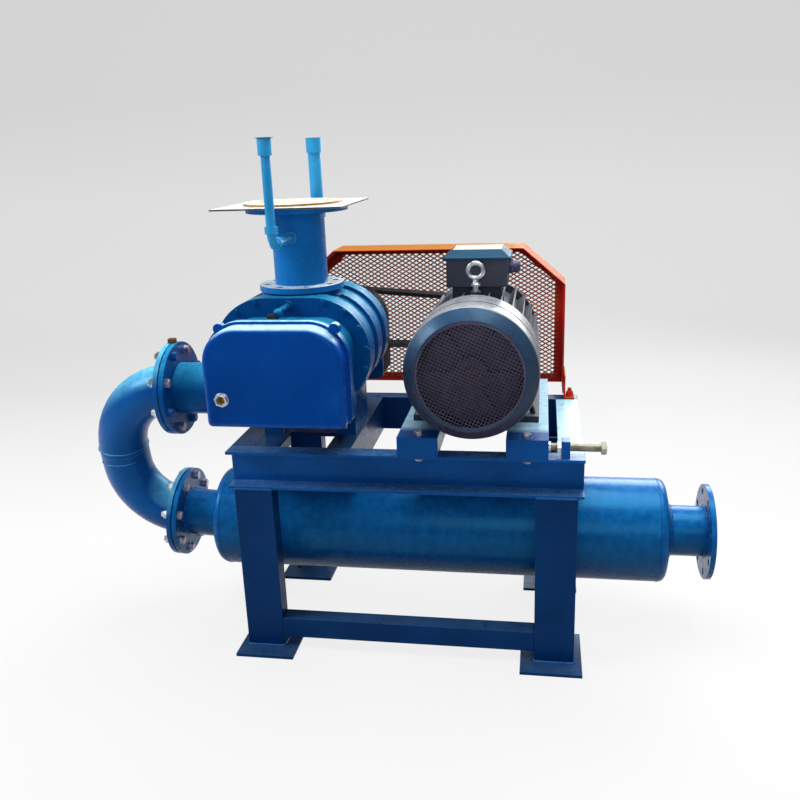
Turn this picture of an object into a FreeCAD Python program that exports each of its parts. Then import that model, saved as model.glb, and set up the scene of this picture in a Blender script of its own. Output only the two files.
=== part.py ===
import FreeCAD, Part
import math
import os
import re
from FreeCAD import Placement, Rotation, Vector

# Belt-driven Roots blower set: a welded table of rolled sections carries a three-lobe blower
# and an electric motor on slide rails, a silencer hangs under the table, a U-bend joins the two,
# and a mesh-backed guard covers the belts behind them.
# Frame: +Z up, the floor at Z = 0, X = 0 and Y = 0 in the middle of the table's anchor holes,
# the gear case and the motor's fan cowl towards -Y, the belts towards +Y.

SIZES = {
    # table of channel and angle
    "table_length": 890.0,
    "table_depth": 540.0,
    "table_height": 560.0,
    "beam_height": 100.0,
    "beam_flange": 48.0,
    "beam_web": 5.3,
    "flange_wall": 8.0,
    "angle_top": 63.0,
    "angle_wall": 6.0,
    "leg_width": 100.0,
    "leg_spacing": 760.0,
    "foot_length": 155.0,
    "foot_width": 188.0,
    "foot_wall": 8.0,
    "foot_centre": 372.5,
    "front_foot_overhang": 49.0,
    "rear_foot_overhang": 18.0,
    "anchor_spacing_x": 824.0,
    "anchor_inset": 105.0,
    "anchor_hole": 14.0,
    "tie_height": 55.0,
    "tie_level": 37.0,
    "tie_wall": 4.0,
    "left_rail_gap": 0.0,
    "right_rail_edge": -130.0,
    # silencer under the table
    "silencer_radius": 136.5,
    "silencer_wall": 5.0,
    "silencer_length": 1175.0,
    "silencer_x": 57.5,
    "silencer_y": -28.0,
    "silencer_level": 275.5,
    "head_depth": 34.0,
    "core_radius": 55.0,
    "core_wall": 3.0,
    "hanger_width": 85.0,
    "hanger_depth": 43.0,
    "hanger_left_x": -283.0,
    "hanger_right_x": 396.3,
    "hanger_y": -95.0,
    "hanger_bar": 10.0,
    # pipework
    "pipe_radius": 66.5,
    "pipe_wall": 4.0,
    "flange_radius": 125.0,
    "flange_thickness": 13.0,
    "flange_bolt_circle": 105.0,
    "flange_bolt_count": 8.0,
    "bolt_radius": 8.0,
    "bolt_clearance": 1.0,
    "bolt_head_width": 24.0,
    "bolt_head_height": 10.0,
    "nut_height": 13.0,
    "gasket_thickness": 3.0,
    "upper_bend_radius": 194.0,
    "lower_bend_radius": 160.0,
    "elbow_step": 7.5,
    "lower_bend_reach": 298.0,
    "upper_bend_reach": 199.5,
    "lower_bolt_turn": 27.0,
    "inlet_reach": 110.0,
    "inlet_tilt": 4.0,
    "outlet_reach": 101.0,
    # blower casing
    "blower_x": -262.5,
    "blower_y": -98.0,
    "rotor_rise": 230.0,
    "discharge_rise": 117.0,
    "discharge_reach": 366.0,
    "neck_radius": 69.0,
    "cylinder_length": 226.0,
    "casing_offset": 58.0,
    "casing_rise": 245.0,
    "casing_radius": 129.0,
    "rib_radius": 138.0,
    "rib_width": 54.0,
    "end_rib_width": 36.0,
    "base_width": 250.0,
    "base_foot_width": 52.0,
    "base_foot_height": 24.0,
    "base_wall": 18.0,
    "base_setback": 90.0,
    "chest_rise": 52.0,
    "chest_setback": 25.0,
    "bore_clearance": 0.35,
    "end_clearance": 0.4,
    "intake_flange_radius": 106.0,
    "intake_boss_radius": 98.0,
    "intake_flange_rise": 371.0,
    "intake_flange_thickness": 12.0,
    "intake_flange_bolt_circle": 86.0,
    "intake_port_radius": 55.0,
    "end_plate_thickness": 20.0,
    "gear_neck_length": 97.0,
    "case_flange_thickness": 13.0,
    "case_flange_lip": 7.5,
    "case_bottom_lip": 1.5,
    "case_half_width": 165.0,
    "case_rim_fillet": 13.0,
    "case_top_rise": 344.0,
    "case_bottom_rise": 109.0,
    "case_top_radius": 85.0,
    "case_bottom_radius": 12.0,
    "case_wall": 8.0,
    "gear_case_depth": 59.0,
    "neck_inset": 8.0,
    "drive_neck_length": 20.0,
    "drive_case_depth": 105.0,
    "hub_radius": 58.0,
    "plate_screw_circle": 129.0,
    "plate_screw_radius": 6.5,
    # rotors, shafts and timing gears
    "shaft_distance": 150.0,
    "lobe_gap": 0.4,
    "shaft_radius": 25.0,
    "gear_seat_radius": 22.0,
    "drive_end_radius": 19.0,
    "bearing_outer_radius": 50.0,
    "bearing_width": 30.0,
    "running_clearance": 0.05,
    "gear_teeth": 30.0,
    "gear_width": 28.0,
    "gear_backlash": 0.5,
    "seal_width": 10.0,
    "seal_radius": 30.0,
    # belt drive
    "blower_pulley_pitch": 183.0,
    "motor_pulley_pitch": 143.0,
    "belt_y": 329.5,
    "belt_count": 3.0,
    "belt_spacing": 19.0,
    "belt_width": 16.0,
    "belt_height": 13.0,
    "belt_clearance": 0.3,
    "pulley_edge": 12.5,
    # motor and its slide rails
    "motor_x": 177.0,
    "motor_shaft_height": 160.0,
    "rail_width": 100.0,
    "rail_height": 48.0,
    "rail_spacing": 263.0,
    "rail_lift": 0.05,
    "cowl_radius": 160.0,
    "cowl_front": -300.0,
    "cowl_rear": -120.0,
    "cowl_bevel": 28.0,
    "cowl_seam": 95.0,
    "cowl_wall": 3.0,
    "grille_radius": 128.0,
    "grille_pitch": 22.0,
    "grille_bar": 6.0,
    "frame_bore": 112.0,
    "frame_radius": 128.0,
    "frame_rear": 205.0,
    "fin_radius": 156.0,
    "fin_count": 30.0,
    "fin_thickness": 4.0,
    "shoulder_y": 247.0,
    "motor_shaft_radius": 21.0,
    "motor_shaft_length": 110.0,
    "core_length": 190.0,
    "air_gap": 0.5,
    "rotor_core_radius": 74.5,
    "motor_foot_spacing": 254.0,
    "motor_foot_pitch": 254.0,
    "motor_foot_rear": 139.0,
    "motor_foot_width": 62.0,
    "motor_foot_thickness": 16.0,
    "fan_radius": 112.0,
    "fan_width": 44.0,
    "fan_blades": 6.0,
    "box_width": 153.0,
    "box_depth": 130.0,
    "box_y": 10.0,
    "box_rise": 166.95,
    "box_height": 69.0,
    "lid_lip": 8.5,
    "lid_height": 24.0,
    "gland_radius": 20.0,
    "gland_length": 30.0,
    "eyebolt_y": -95.0,
    "eyebolt_ring": 18.5,
    "eyebolt_bar": 5.5,
    "eyebolt_rise": 214.95,
    "rail_bolt_radius": 6.0,
    "belt_travel": 14.0,
    "belt_slack": 6.0,
    # tension bolt at the right end
    "tension_radius": 10.0,
    "tension_level": 24.0,
    "tension_y": -246.0,
    "tension_head_x": 481.0,
    "tension_head_height": 12.0,
    "tension_head_width": 30.0,
    "lug_x": 389.0,
    "lug_length": 20.0,
    "lug_width": 32.0,
    "lug_height": 43.0,
    # belt guard
    "guard_left": -455.0,
    "left_chamfer_width": 180.0,
    "left_chamfer_height": 162.0,
    "guard_right": 405.0,
    "guard_rise": 430.0,
    "guard_drop": 3.0,
    "right_chamfer_width": 121.0,
    "right_chamfer_height": 106.0,
    "guard_front": 290.0,
    "guard_depth": 130.0,
    "guard_wall": 3.0,
    "guard_frame": 28.0,
    "mesh_pitch_x": 66.0,
    "mesh_pitch_z": 40.0,
    "mesh_strand": 7.0,
    "mesh_wall": 3.0,
    "bracket_width": 30.0,
    "bracket_height": 70.0,
    "bracket_length": 110.0,
    "bracket_lap": 45.0,
    "bracket_wall": 4.0,
    # intake pipe, cover plate and the two risers
    "intake_height": 220.0,
    "intake_pipe_flange": 14.0,
    "intake_top_flange_radius": 126.0,
    "plate_shift": -8.5,
    "plate_side": 316.0,
    "plate_thickness": 4.0,
    "disc_radius": 122.0,
    "disc_thickness": 5.0,
    "riser_reach": 217.0,
    "riser_rise": 147.0,
    "riser_height": 232.0,
    "front_riser_radius": 10.65,
    "rear_riser_radius": 16.85,
    "riser_wall": 2.8,
    "coupling_length": 38.0,
    "coupling_thread_depth": 0.5,
    "front_coupling_radius": 15.9,
    "rear_coupling_radius": 20.6,
    "rear_riser_shift": -5.0,
    # oil fittings on the gear case
    "sight_x": -122.0,
    "sight_rise": 178.0,
    "sight_width": 29.0,
    "sight_depth": 11.0,
    "filler_width": 23.0,
    "filler_height": 20.0,
    "breather_rise": 19.0,
    "breather_radius": 8.0,
}

# Levels and places that follow from the sizes
LEVELS = {
    "anchor_spacing_y": "table_depth - 2 * anchor_inset",
    "rotor_level": "table_height + rotor_rise",
    "discharge_level": "table_height + discharge_rise",
    "casing_level": "table_height + casing_rise",
    "chest_level": "table_height + chest_rise",
    "intake_flange_level": "table_height + intake_flange_rise",
    "case_top": "table_height + case_top_rise",
    "case_bottom": "table_height + case_bottom_rise",
    "sight_level": "table_height + sight_rise",
    "breather_level": "case_top + breather_rise",
    "motor_level": "table_height + rail_lift + rail_height + motor_shaft_height",
    "box_bottom": "motor_level + box_rise",
    "eyebolt_level": "motor_level + eyebolt_rise",
    "guard_top": "table_height + guard_rise",
    "guard_bottom": "table_height - guard_drop",
    "intake_top": "intake_flange_level + intake_height",
    "riser_level": "intake_flange_level + riser_rise",
    "riser_top": "riser_level + riser_height",
}

doc = FreeCAD.newDocument("RootsBlower")
sheet = doc.addObject("Spreadsheet::Sheet", "Sizes")
for row, (alias, number) in enumerate(SIZES.items(), start=1):
    sheet.set("A%d" % row, alias)
    sheet.set("B%d" % row, str(number))
    sheet.setAlias("B%d" % row, alias)
for row, (alias, sum_of) in enumerate(LEVELS.items(), start=len(SIZES) + 1):
    sheet.set("A%d" % row, alias)
    sheet.set("B%d" % row, "=" + sum_of)
    sheet.setAlias("B%d" % row, alias)
doc.recompute()

nodes = []


def size(alias):
    return float(sheet.get(alias))


def cells(text):
    """Turn words that are aliases into references to the sheet."""
    def refer(match):
        word = match.group(0)
        return "Sizes." + word if word in SIZES or word in LEVELS else word
    return re.sub(r"[a-z_][a-z_0-9]*", refer, str(text))


def primitive(kind, name, sizes, at, turn=None):
    """A Part primitive whose sizes and place are bound to the sheet."""
    piece = doc.addObject(kind, name)
    for prop, text in sizes.items():
        piece.setExpression(prop, cells(text))
    if turn is not None:
        piece.Placement = Placement(Vector(), turn)
    for axis, text in zip("xyz", at):
        piece.setExpression("Placement.Base." + axis, cells(text))
    return piece


def box(name, low, span):
    return primitive("Part::Box", name, dict(zip(("Length", "Width", "Height"), span)), low)


ALONG_X = Rotation(Vector(0, 1, 0), 90)
ALONG_Y = Rotation(Vector(1, 0, 0), -90)
UPRIGHT = Rotation()


def rod(name, radius, length, at, turn=UPRIGHT):
    return primitive("Part::Cylinder", name, {"Radius": radius, "Height": length}, at, turn)


def fuse(name, pieces):
    joined = doc.addObject("Part::MultiFuse", name)
    joined.Shapes = pieces
    return joined


def cut(name, base, tools):
    taken = doc.addObject("Part::Cut", name)
    taken.Base = base
    taken.Tool = tools[0] if len(tools) == 1 else fuse(name + "_tools", tools)
    return taken


def group(name, pieces):
    kept = doc.addObject("Part::Compound", name)
    kept.Links = pieces
    return kept


def shaped(name, shape, place=None):
    """A sub-part whose shape needs curves that the primitives lack."""
    piece = doc.addObject("Part::Feature", name)
    piece.Shape = shape
    if place is not None:
        piece.Placement = place
    return piece


def node(piece, label):
    piece.Label = label
    nodes.append(piece)
    return piece


def hexagon(across_flats, height):
    """A hex prism along +Z with its middle on the axis."""
    radius = across_flats / math.sqrt(3)
    corners = [Vector(radius * math.cos(k * math.pi / 3), radius * math.sin(k * math.pi / 3), 0)
               for k in range(7)]
    return Part.Face(Part.makePolygon(corners)).extrude(Vector(0, 0, height))


def screw(radius, grip, head_width, head_height, nut_height):
    """Head under the clamped stack, shank along +Z, nut on top of it."""
    head = hexagon(head_width, head_height).translated(Vector(0, 0, -head_height))
    shank = Part.makeCylinder(radius, grip + nut_height + 3)
    if nut_height == 0:
        return head.fuse(Part.makeCylinder(radius, grip))
    nut = hexagon(head_width, nut_height).translated(Vector(0, 0, grip))
    return head.fuse([shank, nut])


# Table beams: front and rear channels with their flanges outwards

half_depth = "table_depth / 2"
under = "table_height - beam_height"


def channel_beam(label, outwards):
    solid_y = "-" + half_depth if outwards < 0 else half_depth + " - beam_flange"
    hollow_y = "-%s" % half_depth if outwards < 0 else half_depth + " - beam_flange + beam_web"
    body = box(label + "_bar", ("-table_length / 2", solid_y, under),
               ("table_length", "beam_flange", "beam_height"))
    hollow = box(label + "_hollow", ("-table_length / 2", hollow_y, under + " + flange_wall"),
                 ("table_length", "beam_flange - beam_web", "beam_height - 2 * flange_wall"))
    slots = []
    for side in (-1, 1):
        reach = "%d * rail_spacing / 2" % side
        y = "%d * (table_depth / 2 - beam_flange / 2)" % outwards
        start = "motor_x + %s - belt_slack - rail_bolt_radius - 1" % reach
        slots.append(box("%s_slot_%d" % (label, side + 1),
                         (start, y + " - rail_bolt_radius - 0.5", "table_height - flange_wall - 1"),
                         ("belt_slack + belt_travel + 2 * rail_bolt_radius + 2",
                          "2 * rail_bolt_radius + 1", "flange_wall + 2")))
    return node(cut(label, body, [hollow] + slots), label)


channel_beam("beam_front", -1)
channel_beam("beam_rear", 1)


def angle_member(name, left, upright_on_left):
    """An angle between the beams' webs with one leg flat on top and one hanging down."""
    inner_y = "-(table_depth / 2 - beam_flange)"
    run = "table_depth - 2 * beam_flange"
    top = box(name + "_top", (left, inner_y, "table_height - angle_wall"),
              ("angle_top", run, "angle_wall"))
    hang_x = left if upright_on_left else left + " + angle_top - angle_wall"
    hang = box(name + "_hang", (hang_x, inner_y, under), ("angle_wall", run, "beam_height"))
    return fuse(name, [top, hang])


node(angle_member("beam_left", "-table_length / 2", True), "beam_left")
node(angle_member("beam_right", "table_length / 2 - angle_top", False), "beam_right")
left_rail = angle_member("rail_left", "-table_length / 2 + angle_top + left_rail_gap", True)
right_rail = angle_member("rail_right", "right_rail_edge - angle_top", False)
node(group("blower_rails", [left_rail, right_rail]), "blower_rails")

# Legs of the same channel, web outwards, on foot plates with one anchor hole each

def leg(name, side, outwards):
    left = "%d * leg_spacing / 2 - leg_width / 2" % side
    y = "-" + half_depth if outwards < 0 else half_depth + " - beam_flange"
    hollow_y = "-%s + beam_web" % half_depth if outwards < 0 else half_depth + " - beam_flange"
    height = under + " - foot_wall"
    bar = box(name + "_bar", (left, y, "foot_wall"), ("leg_width", "beam_flange", height))
    hollow = box(name + "_hollow", (left + " + flange_wall", hollow_y, "foot_wall"),
                 ("leg_width - 2 * flange_wall", "beam_flange - beam_web", height))
    return cut(name, bar, [hollow])


for end, outwards in (("front", -1), ("rear", 1)):
    pair = [leg("leg_%s_%s" % (end, side_name), side, outwards)
            for side_name, side in (("left", -1), ("right", 1))]
    node(group("legs_" + end, pair), "legs_" + end)

plates = []
for outwards, overhang in ((-1, "front_foot_overhang"), (1, "rear_foot_overhang")):
    for side in (-1, 1):
        tag = "foot_%d_%d" % (outwards + 1, side + 1)
        y = "-%s - %s" % (half_depth, overhang) if outwards < 0 else \
            "%s + %s - foot_width" % (half_depth, overhang)
        plate = box(tag + "_plate", ("%d * foot_centre - foot_length / 2" % side, y, "0"),
                    ("foot_length", "foot_width", "foot_wall"))
        hole = rod(tag + "_hole", "anchor_hole / 2", "foot_wall + 2",
                   ("%d * anchor_spacing_x / 2" % side, "%d * anchor_spacing_y / 2" % outwards, "-1"))
        plates.append(cut(tag, plate, [hole]))
node(group("foot_plates", plates), "foot_plates")

# Cross tie of rectangular tube between the front legs

tie_left = "-leg_spacing / 2 + leg_width / 2"
tie_length = "leg_spacing - leg_width"
tie_bar = box("tie_bar", (tie_left, "-" + half_depth, "tie_level"),
              (tie_length, "beam_flange", "tie_height"))
tie_hollow = box("tie_hollow", (tie_left + " - 1", "-%s + tie_wall" % half_depth,
                                "tie_level + tie_wall"),
                 (tie_length + " + 2", "beam_flange - 2 * tie_wall", "tie_height - 2 * tie_wall"))
node(cut("cross_tie", tie_bar, [tie_hollow]), "cross_tie")

# Silencer: rolled shell, two dished heads, perforated core with baffles

shell_left = "silencer_x - silencer_length / 2"
axis_at = (shell_left, "silencer_y", "silencer_level")
shell_out = rod("shell_out", "silencer_radius", "silencer_length", axis_at, ALONG_X)
shell_in = rod("shell_in", "silencer_radius - silencer_wall", "silencer_length", axis_at, ALONG_X)
node(cut("silencer_shell", shell_out, [shell_in]), "silencer_shell")

tilt = size("inlet_tilt")
lean = math.degrees(math.atan2(size("silencer_y") - size("blower_y"),
                               size("discharge_level") - size("silencer_level")))
left_face = size("silencer_x") - size("silencer_length") / 2
right_face = left_face + size("silencer_length")
apex = left_face - size("head_depth")
bend_place = Placement(Vector(0, size("silencer_y"), size("silencer_level")),
                       Rotation(Vector(1, 0, 0), lean))


def along_inlet(distance):
    """A point on the tilted inlet axis, in the plane of the U-bend."""
    turn = math.radians(tilt)
    return Vector(apex - distance * math.cos(turn), 0, distance * math.sin(turn))


inlet_axis = Rotation(Vector(0, 1, 0), -90 + tilt)


def inlet_tube(radius, start, length):
    tube = Part.makeCylinder(radius, length)
    tube.Placement = Placement(along_inlet(start), inlet_axis)
    return tube


def dished_head():
    """Knuckle, shallow crown and wall of a head, revolved about X from the shell's edge."""
    outer = size("silencer_radius")
    depth = size("head_depth")
    wall = size("silencer_wall")
    crown_edge = outer - 0.55 * depth
    neck = size("pipe_radius")
    rise = depth * 0.62
    rim = [Vector(0, 0, outer), Vector(rise * 0.72, 0, outer - 0.14 * depth)]
    knuckle = Part.Arc(rim[0], rim[1], Vector(rise, 0, crown_edge)).toShape()
    crown = Part.makeLine(Vector(rise, 0, crown_edge), Vector(depth, 0, neck))
    end = Part.makeLine(Vector(depth, 0, neck), Vector(depth, 0, 0.0))
    foot = Part.makeLine(Vector(depth, 0, 0.0), Vector(depth - wall, 0, 0.0))
    inner_end = Part.makeLine(Vector(depth - wall, 0, 0.0), Vector(depth - wall, 0, neck - wall))
    inner_crown = Part.makeLine(Vector(depth - wall, 0, neck - wall),
                                Vector(rise - wall, 0, crown_edge - wall))
    inner_knuckle = Part.makeLine(Vector(rise - wall, 0, crown_edge - wall),
                                  Vector(0, 0, outer - wall))
    seat = Part.makeLine(Vector(0, 0, outer - wall), rim[0])
    face = Part.Face(Part.Wire([knuckle, crown, end, foot, inner_end, inner_crown,
                                inner_knuckle, seat]))
    return face.revolve(Vector(), Vector(1, 0, 0), 360)


right_head = dished_head()
right_head.translate(Vector(right_face, size("silencer_y"), size("silencer_level")))
outlet_opening = Part.makeCylinder(size("pipe_radius"), size("head_depth") + 2,
                                   Vector(right_face, size("silencer_y"), size("silencer_level")),
                                   Vector(1, 0, 0))
left_head = dished_head().mirror(Vector(), Vector(1, 0, 0))
left_head.translate(Vector(left_face, 0, 0))
inlet_depth = size("head_depth") + 6
left_head = left_head.cut(inlet_tube(size("pipe_radius"), -inlet_depth, inlet_depth + 20))
left_head.Placement = bend_place.multiply(left_head.Placement)
node(shaped("silencer_heads", Part.makeCompound([left_head, right_head.cut(outlet_opening)])),
     "silencer_heads")

core_left = shell_left + " + 60"
core_run = "silencer_length - 120"
core_out = rod("core_out", "core_radius", core_run, (core_left, "silencer_y", "silencer_level"),
               ALONG_X)
core_in = rod("core_in", "core_radius - core_wall", core_run + " + 2",
              (core_left + " - 1", "silencer_y", "silencer_level"), ALONG_X)
baffles = []
for number, share in enumerate((0.2, 0.5, 0.8)):
    baffles.append(rod("baffle_%d" % number, "silencer_radius - silencer_wall", "core_wall",
                       (shell_left + " + %g * silencer_length" % share, "silencer_y",
                        "silencer_level"), ALONG_X))
node(cut("silencer_core", fuse("core_solid", [core_out] + baffles), [core_in]), "silencer_core")

# Hangers: short channel pieces that carry the silencer from the table's members

silencer_solid = rod("hanger_seat", "silencer_radius", "silencer_length", axis_at, ALONG_X)


def hanger(name, x, top):
    bottom = "silencer_level"
    height = "%s - silencer_level" % top
    post = box(name + "_post", (x + " - hanger_width / 2", "hanger_y", bottom),
               ("hanger_width", "hanger_depth", height))
    hollow = box(name + "_hollow", (x + " - hanger_width / 2 + beam_web", "hanger_y + beam_web",
                                    bottom),
                 ("hanger_width - 2 * beam_web", "hanger_depth", height))
    return cut(name, post, [hollow, silencer_solid])


bar_left = "-table_length / 2 + angle_top + left_rail_gap + angle_wall"
hanger_bar = box("hanger_cross_bar", (bar_left, "hanger_y", "table_height - angle_wall - hanger_bar"),
                 ("right_rail_edge - angle_wall - (%s)" % bar_left, "hanger_depth", "hanger_bar"))
left_hanger = fuse("hanger_left", [hanger("hanger_left_post", "hanger_left_x",
                                          "(table_height - angle_wall - hanger_bar)"), hanger_bar])
right_hanger = hanger("hanger_right", "hanger_right_x", "(table_height - angle_wall)")
node(group("silencer_hangers", [left_hanger, right_hanger]), "silencer_hangers")

# Pipe flanges with their bolt holes

def bolt_places(count, first):
    return [first + 360.0 * k / count for k in range(count)]


def flange_ring(first_angle):
    """A flat flange along +Z from Z = 0 with the bolt circle's first hole at an angle.
    Its bore is cut later, together with the pipe's."""
    count = int(size("flange_bolt_count"))
    ring = Part.makeCylinder(size("flange_radius"), size("flange_thickness"))
    holes = []
    for angle in bolt_places(count, first_angle):
        turn = math.radians(angle)
        centre = Vector(size("flange_bolt_circle") * math.cos(turn),
                        size("flange_bolt_circle") * math.sin(turn), 0)
        holes.append(Part.makeCylinder(size("bolt_radius") + size("bolt_clearance"),
                                       size("flange_thickness"), centre))
    return ring.cut(Part.makeCompound(holes))


pipe = size("pipe_radius")
pipe_bore = size("pipe_radius") - size("pipe_wall")
thick = size("flange_thickness")
gasket = size("gasket_thickness")

# Silencer inlet and outlet: stub pipes with flanges

inlet = size("inlet_reach")
inlet_ring = flange_ring(size("lower_bolt_turn"))
inlet_ring.Placement = Placement(along_inlet(inlet - thick), inlet_axis)
inlet_pipe = inlet_tube(pipe, -inlet_depth, inlet_depth + inlet).fuse(inlet_ring)
inlet_pipe = inlet_pipe.cut(inlet_tube(pipe_bore, -inlet_depth, inlet_depth + inlet))
node(shaped("silencer_inlet", inlet_pipe, bend_place), "silencer_inlet")

outlet_face = right_face + size("head_depth") + size("outlet_reach")
outlet_axis = Rotation(Vector(0, 1, 0), 90)
outlet_ring = flange_ring(22.5)
outlet_ring.Placement = Placement(Vector(outlet_face - thick, 0, 0), outlet_axis)
outlet_start = right_face + 2
outlet_run = outlet_face - outlet_start
outlet_pipe = Part.makeCylinder(pipe, outlet_run, Vector(outlet_start, 0, 0), Vector(1, 0, 0))
outlet_pipe = outlet_pipe.fuse(outlet_ring)
outlet_pipe = outlet_pipe.cut(Part.makeCylinder(pipe_bore, outlet_run, Vector(outlet_start, 0, 0),
                                                Vector(1, 0, 0)))
node(shaped("silencer_outlet", outlet_pipe,
            Placement(Vector(0, size("silencer_y"), size("silencer_level")), Rotation())),
     "silencer_outlet")

# U-bend: two elbows with a short straight piece between, leaning towards the blower

upper_radius = size("upper_bend_radius")
lower_radius = size("lower_bend_radius")
back_x = min(left_face - size("lower_bend_reach"),
             size("blower_x") - size("discharge_reach") - size("upper_bend_reach"))
rise = math.hypot(size("silencer_y") - size("blower_y"),
                  size("discharge_level") - size("silencer_level"))
bend_start = along_inlet(inlet + gasket)
slope = math.radians(tilt)
lower_x = back_x + lower_radius
bend_centre = Vector(lower_x, 0, lower_radius / math.cos(slope) - (lower_x - apex) * math.tan(slope))
neck_face = size("blower_x") - size("discharge_reach")
upper_start = neck_face - gasket


def elbow(tube_radius, centre, bend_radius, first, last, normal=Vector(0, -1, 0)):
    """A round elbow about a centre in the XZ plane, from one angle to another, of short rings."""
    rings = []
    count = max(int(abs(last - first) / size("elbow_step")), 2)
    for step in range(count + 1):
        turn = math.radians(first + (last - first) * step / count)
        out = Vector(math.cos(turn), 0, math.sin(turn))
        rings.append(Part.Wire(Part.makeCircle(tube_radius, centre + out * bend_radius,
                                               normal.cross(out))))
    return Part.makeLoft(rings, True, True)


def straight(tube_radius, start, end):
    return Part.makeCylinder(tube_radius, (end - start).Length, start, end - start)


lower_top = Vector(back_x, 0, bend_centre.z)
upper_centre = Vector(back_x + upper_radius, 0, rise - upper_radius)
lower_end = bend_centre + Vector(-lower_radius * math.sin(slope), 0,
                                 -lower_radius * math.cos(slope))
upper_bottom = Vector(back_x, 0, upper_centre.z)
upper_end = Vector(upper_centre.x, 0, rise)
upper_flange = Vector(upper_start, 0, rise)


def lower_run(tube_radius):
    quarter = elbow(tube_radius, bend_centre, lower_radius, 180, 270 - tilt)
    return quarter.fuse([straight(tube_radius, bend_start, lower_end),
                         straight(tube_radius, lower_top, upper_bottom)])


def upper_run(tube_radius):
    quarter = elbow(tube_radius, upper_centre, upper_radius, 90, 180)
    return quarter.fuse(straight(tube_radius, upper_flange, upper_end))


lower_ring = flange_ring(size("lower_bolt_turn"))
lower_ring.Placement = Placement(along_inlet(inlet + gasket), inlet_axis)
lower_bend = lower_run(pipe).fuse(lower_ring).cut(lower_run(pipe_bore))
node(shaped("bend_lower", lower_bend, bend_place), "bend_lower")

upper_ring = flange_ring(22.5 + lean)
upper_ring.Placement = Placement(Vector(upper_start, 0, rise), Rotation(Vector(0, 1, 0), -90))
upper_bend = upper_run(pipe).fuse(upper_ring).cut(upper_run(pipe_bore))
node(shaped("bend_upper", upper_bend, bend_place), "bend_upper")

# Gaskets and the two sets of flange bolts

inside_bolts = size("flange_bolt_circle") - size("bolt_radius") - 2
lower_gasket = Part.makeCylinder(inside_bolts, gasket).cut(Part.makeCylinder(pipe_bore, gasket))
upper_gasket = lower_gasket.copy()
lower_gasket.Placement = bend_place.multiply(Placement(along_inlet(inlet), inlet_axis))
upper_gasket.Placement = Placement(Vector(upper_start, size("blower_y"), size("discharge_level")),
                                   outlet_axis)
intake_gasket = Part.makeCylinder(size("intake_boss_radius") - 24, gasket)
intake_gasket = intake_gasket.cut(Part.makeCylinder(size("intake_port_radius"), gasket))
intake_gasket.translate(Vector(size("blower_x"), size("blower_y"), size("intake_flange_level")
                               + size("intake_flange_thickness")))
node(shaped("flange_gaskets", Part.makeCompound([lower_gasket, upper_gasket, intake_gasket])),
     "flange_gaskets")

grip = 2 * thick + gasket
flange_screw = screw(size("bolt_radius"), grip, size("bolt_head_width"), size("bolt_head_height"),
                     size("nut_height"))


def bolt_ring(first_angle, place):
    ring = []
    for angle in bolt_places(int(size("flange_bolt_count")), first_angle):
        spin = Placement(Vector(), Rotation(Vector(0, 0, 1), angle))
        out = Placement(Vector(size("flange_bolt_circle"), 0, 0), Rotation())
        bolt = flange_screw.copy()
        bolt.Placement = place.multiply(spin).multiply(out)
        ring.append(bolt)
    return ring


lower_bolts = bolt_ring(size("lower_bolt_turn"), bend_place.multiply(Placement(along_inlet(inlet - thick), inlet_axis)))
upper_bolts = bolt_ring(22.5, Placement(Vector(neck_face + thick, size("blower_y"),
                                               size("discharge_level")),
                                        Rotation(Vector(0, 1, 0), -90)))
node(shaped("flange_bolts", Part.makeCompound(lower_bolts + upper_bolts)), "flange_bolts")

# Outlines of the blower casing, in planes across its shafts

axis_x = size("blower_x")
level = size("rotor_level")
front_y = size("blower_y") - size("cylinder_length") / 2
rear_y = size("blower_y") + size("cylinder_length") / 2


def casing_wire(arc_radius, y):
    """Two arches side by side over a narrower straight-sided foot."""
    offset = size("casing_offset")
    half = size("base_width") / 2
    high = size("casing_level")
    waist = size("chest_level") + 0.28 * (level - size("chest_level"))
    right = axis_x + offset
    left = axis_x - offset
    low = math.radians(-28)
    side = Vector(right + arc_radius * math.cos(low), y, high + arc_radius * math.sin(low))
    other = Vector(2 * axis_x - side.x, y, side.z)
    edges = [
        Part.makeLine(Vector(axis_x + half, y, waist), side),
        Part.Arc(side, Vector(right + arc_radius * math.cos(0.9), y,
                              high + arc_radius * math.sin(0.9)),
                 Vector(right, y, high + arc_radius)).toShape(),
        Part.makeLine(Vector(right, y, high + arc_radius), Vector(left, y, high + arc_radius)),
        Part.Arc(Vector(left, y, high + arc_radius),
                 Vector(left - arc_radius * math.cos(0.9), y, high + arc_radius * math.sin(0.9)),
                 other).toShape(),
        Part.makeLine(other, Vector(axis_x - half, y, waist)),
        Part.makeLine(Vector(axis_x - half, y, waist),
                      Vector(axis_x - half, y, size("chest_level"))),
        Part.makeLine(Vector(axis_x - half, y, size("chest_level")),
                      Vector(axis_x + half, y, size("chest_level"))),
        Part.makeLine(Vector(axis_x + half, y, size("chest_level")),
                      Vector(axis_x + half, y, waist)),
    ]
    return Part.Wire(edges)


def slab(wire, depth):
    return Part.Face(wire).extrude(Vector(0, depth, 0))


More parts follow.
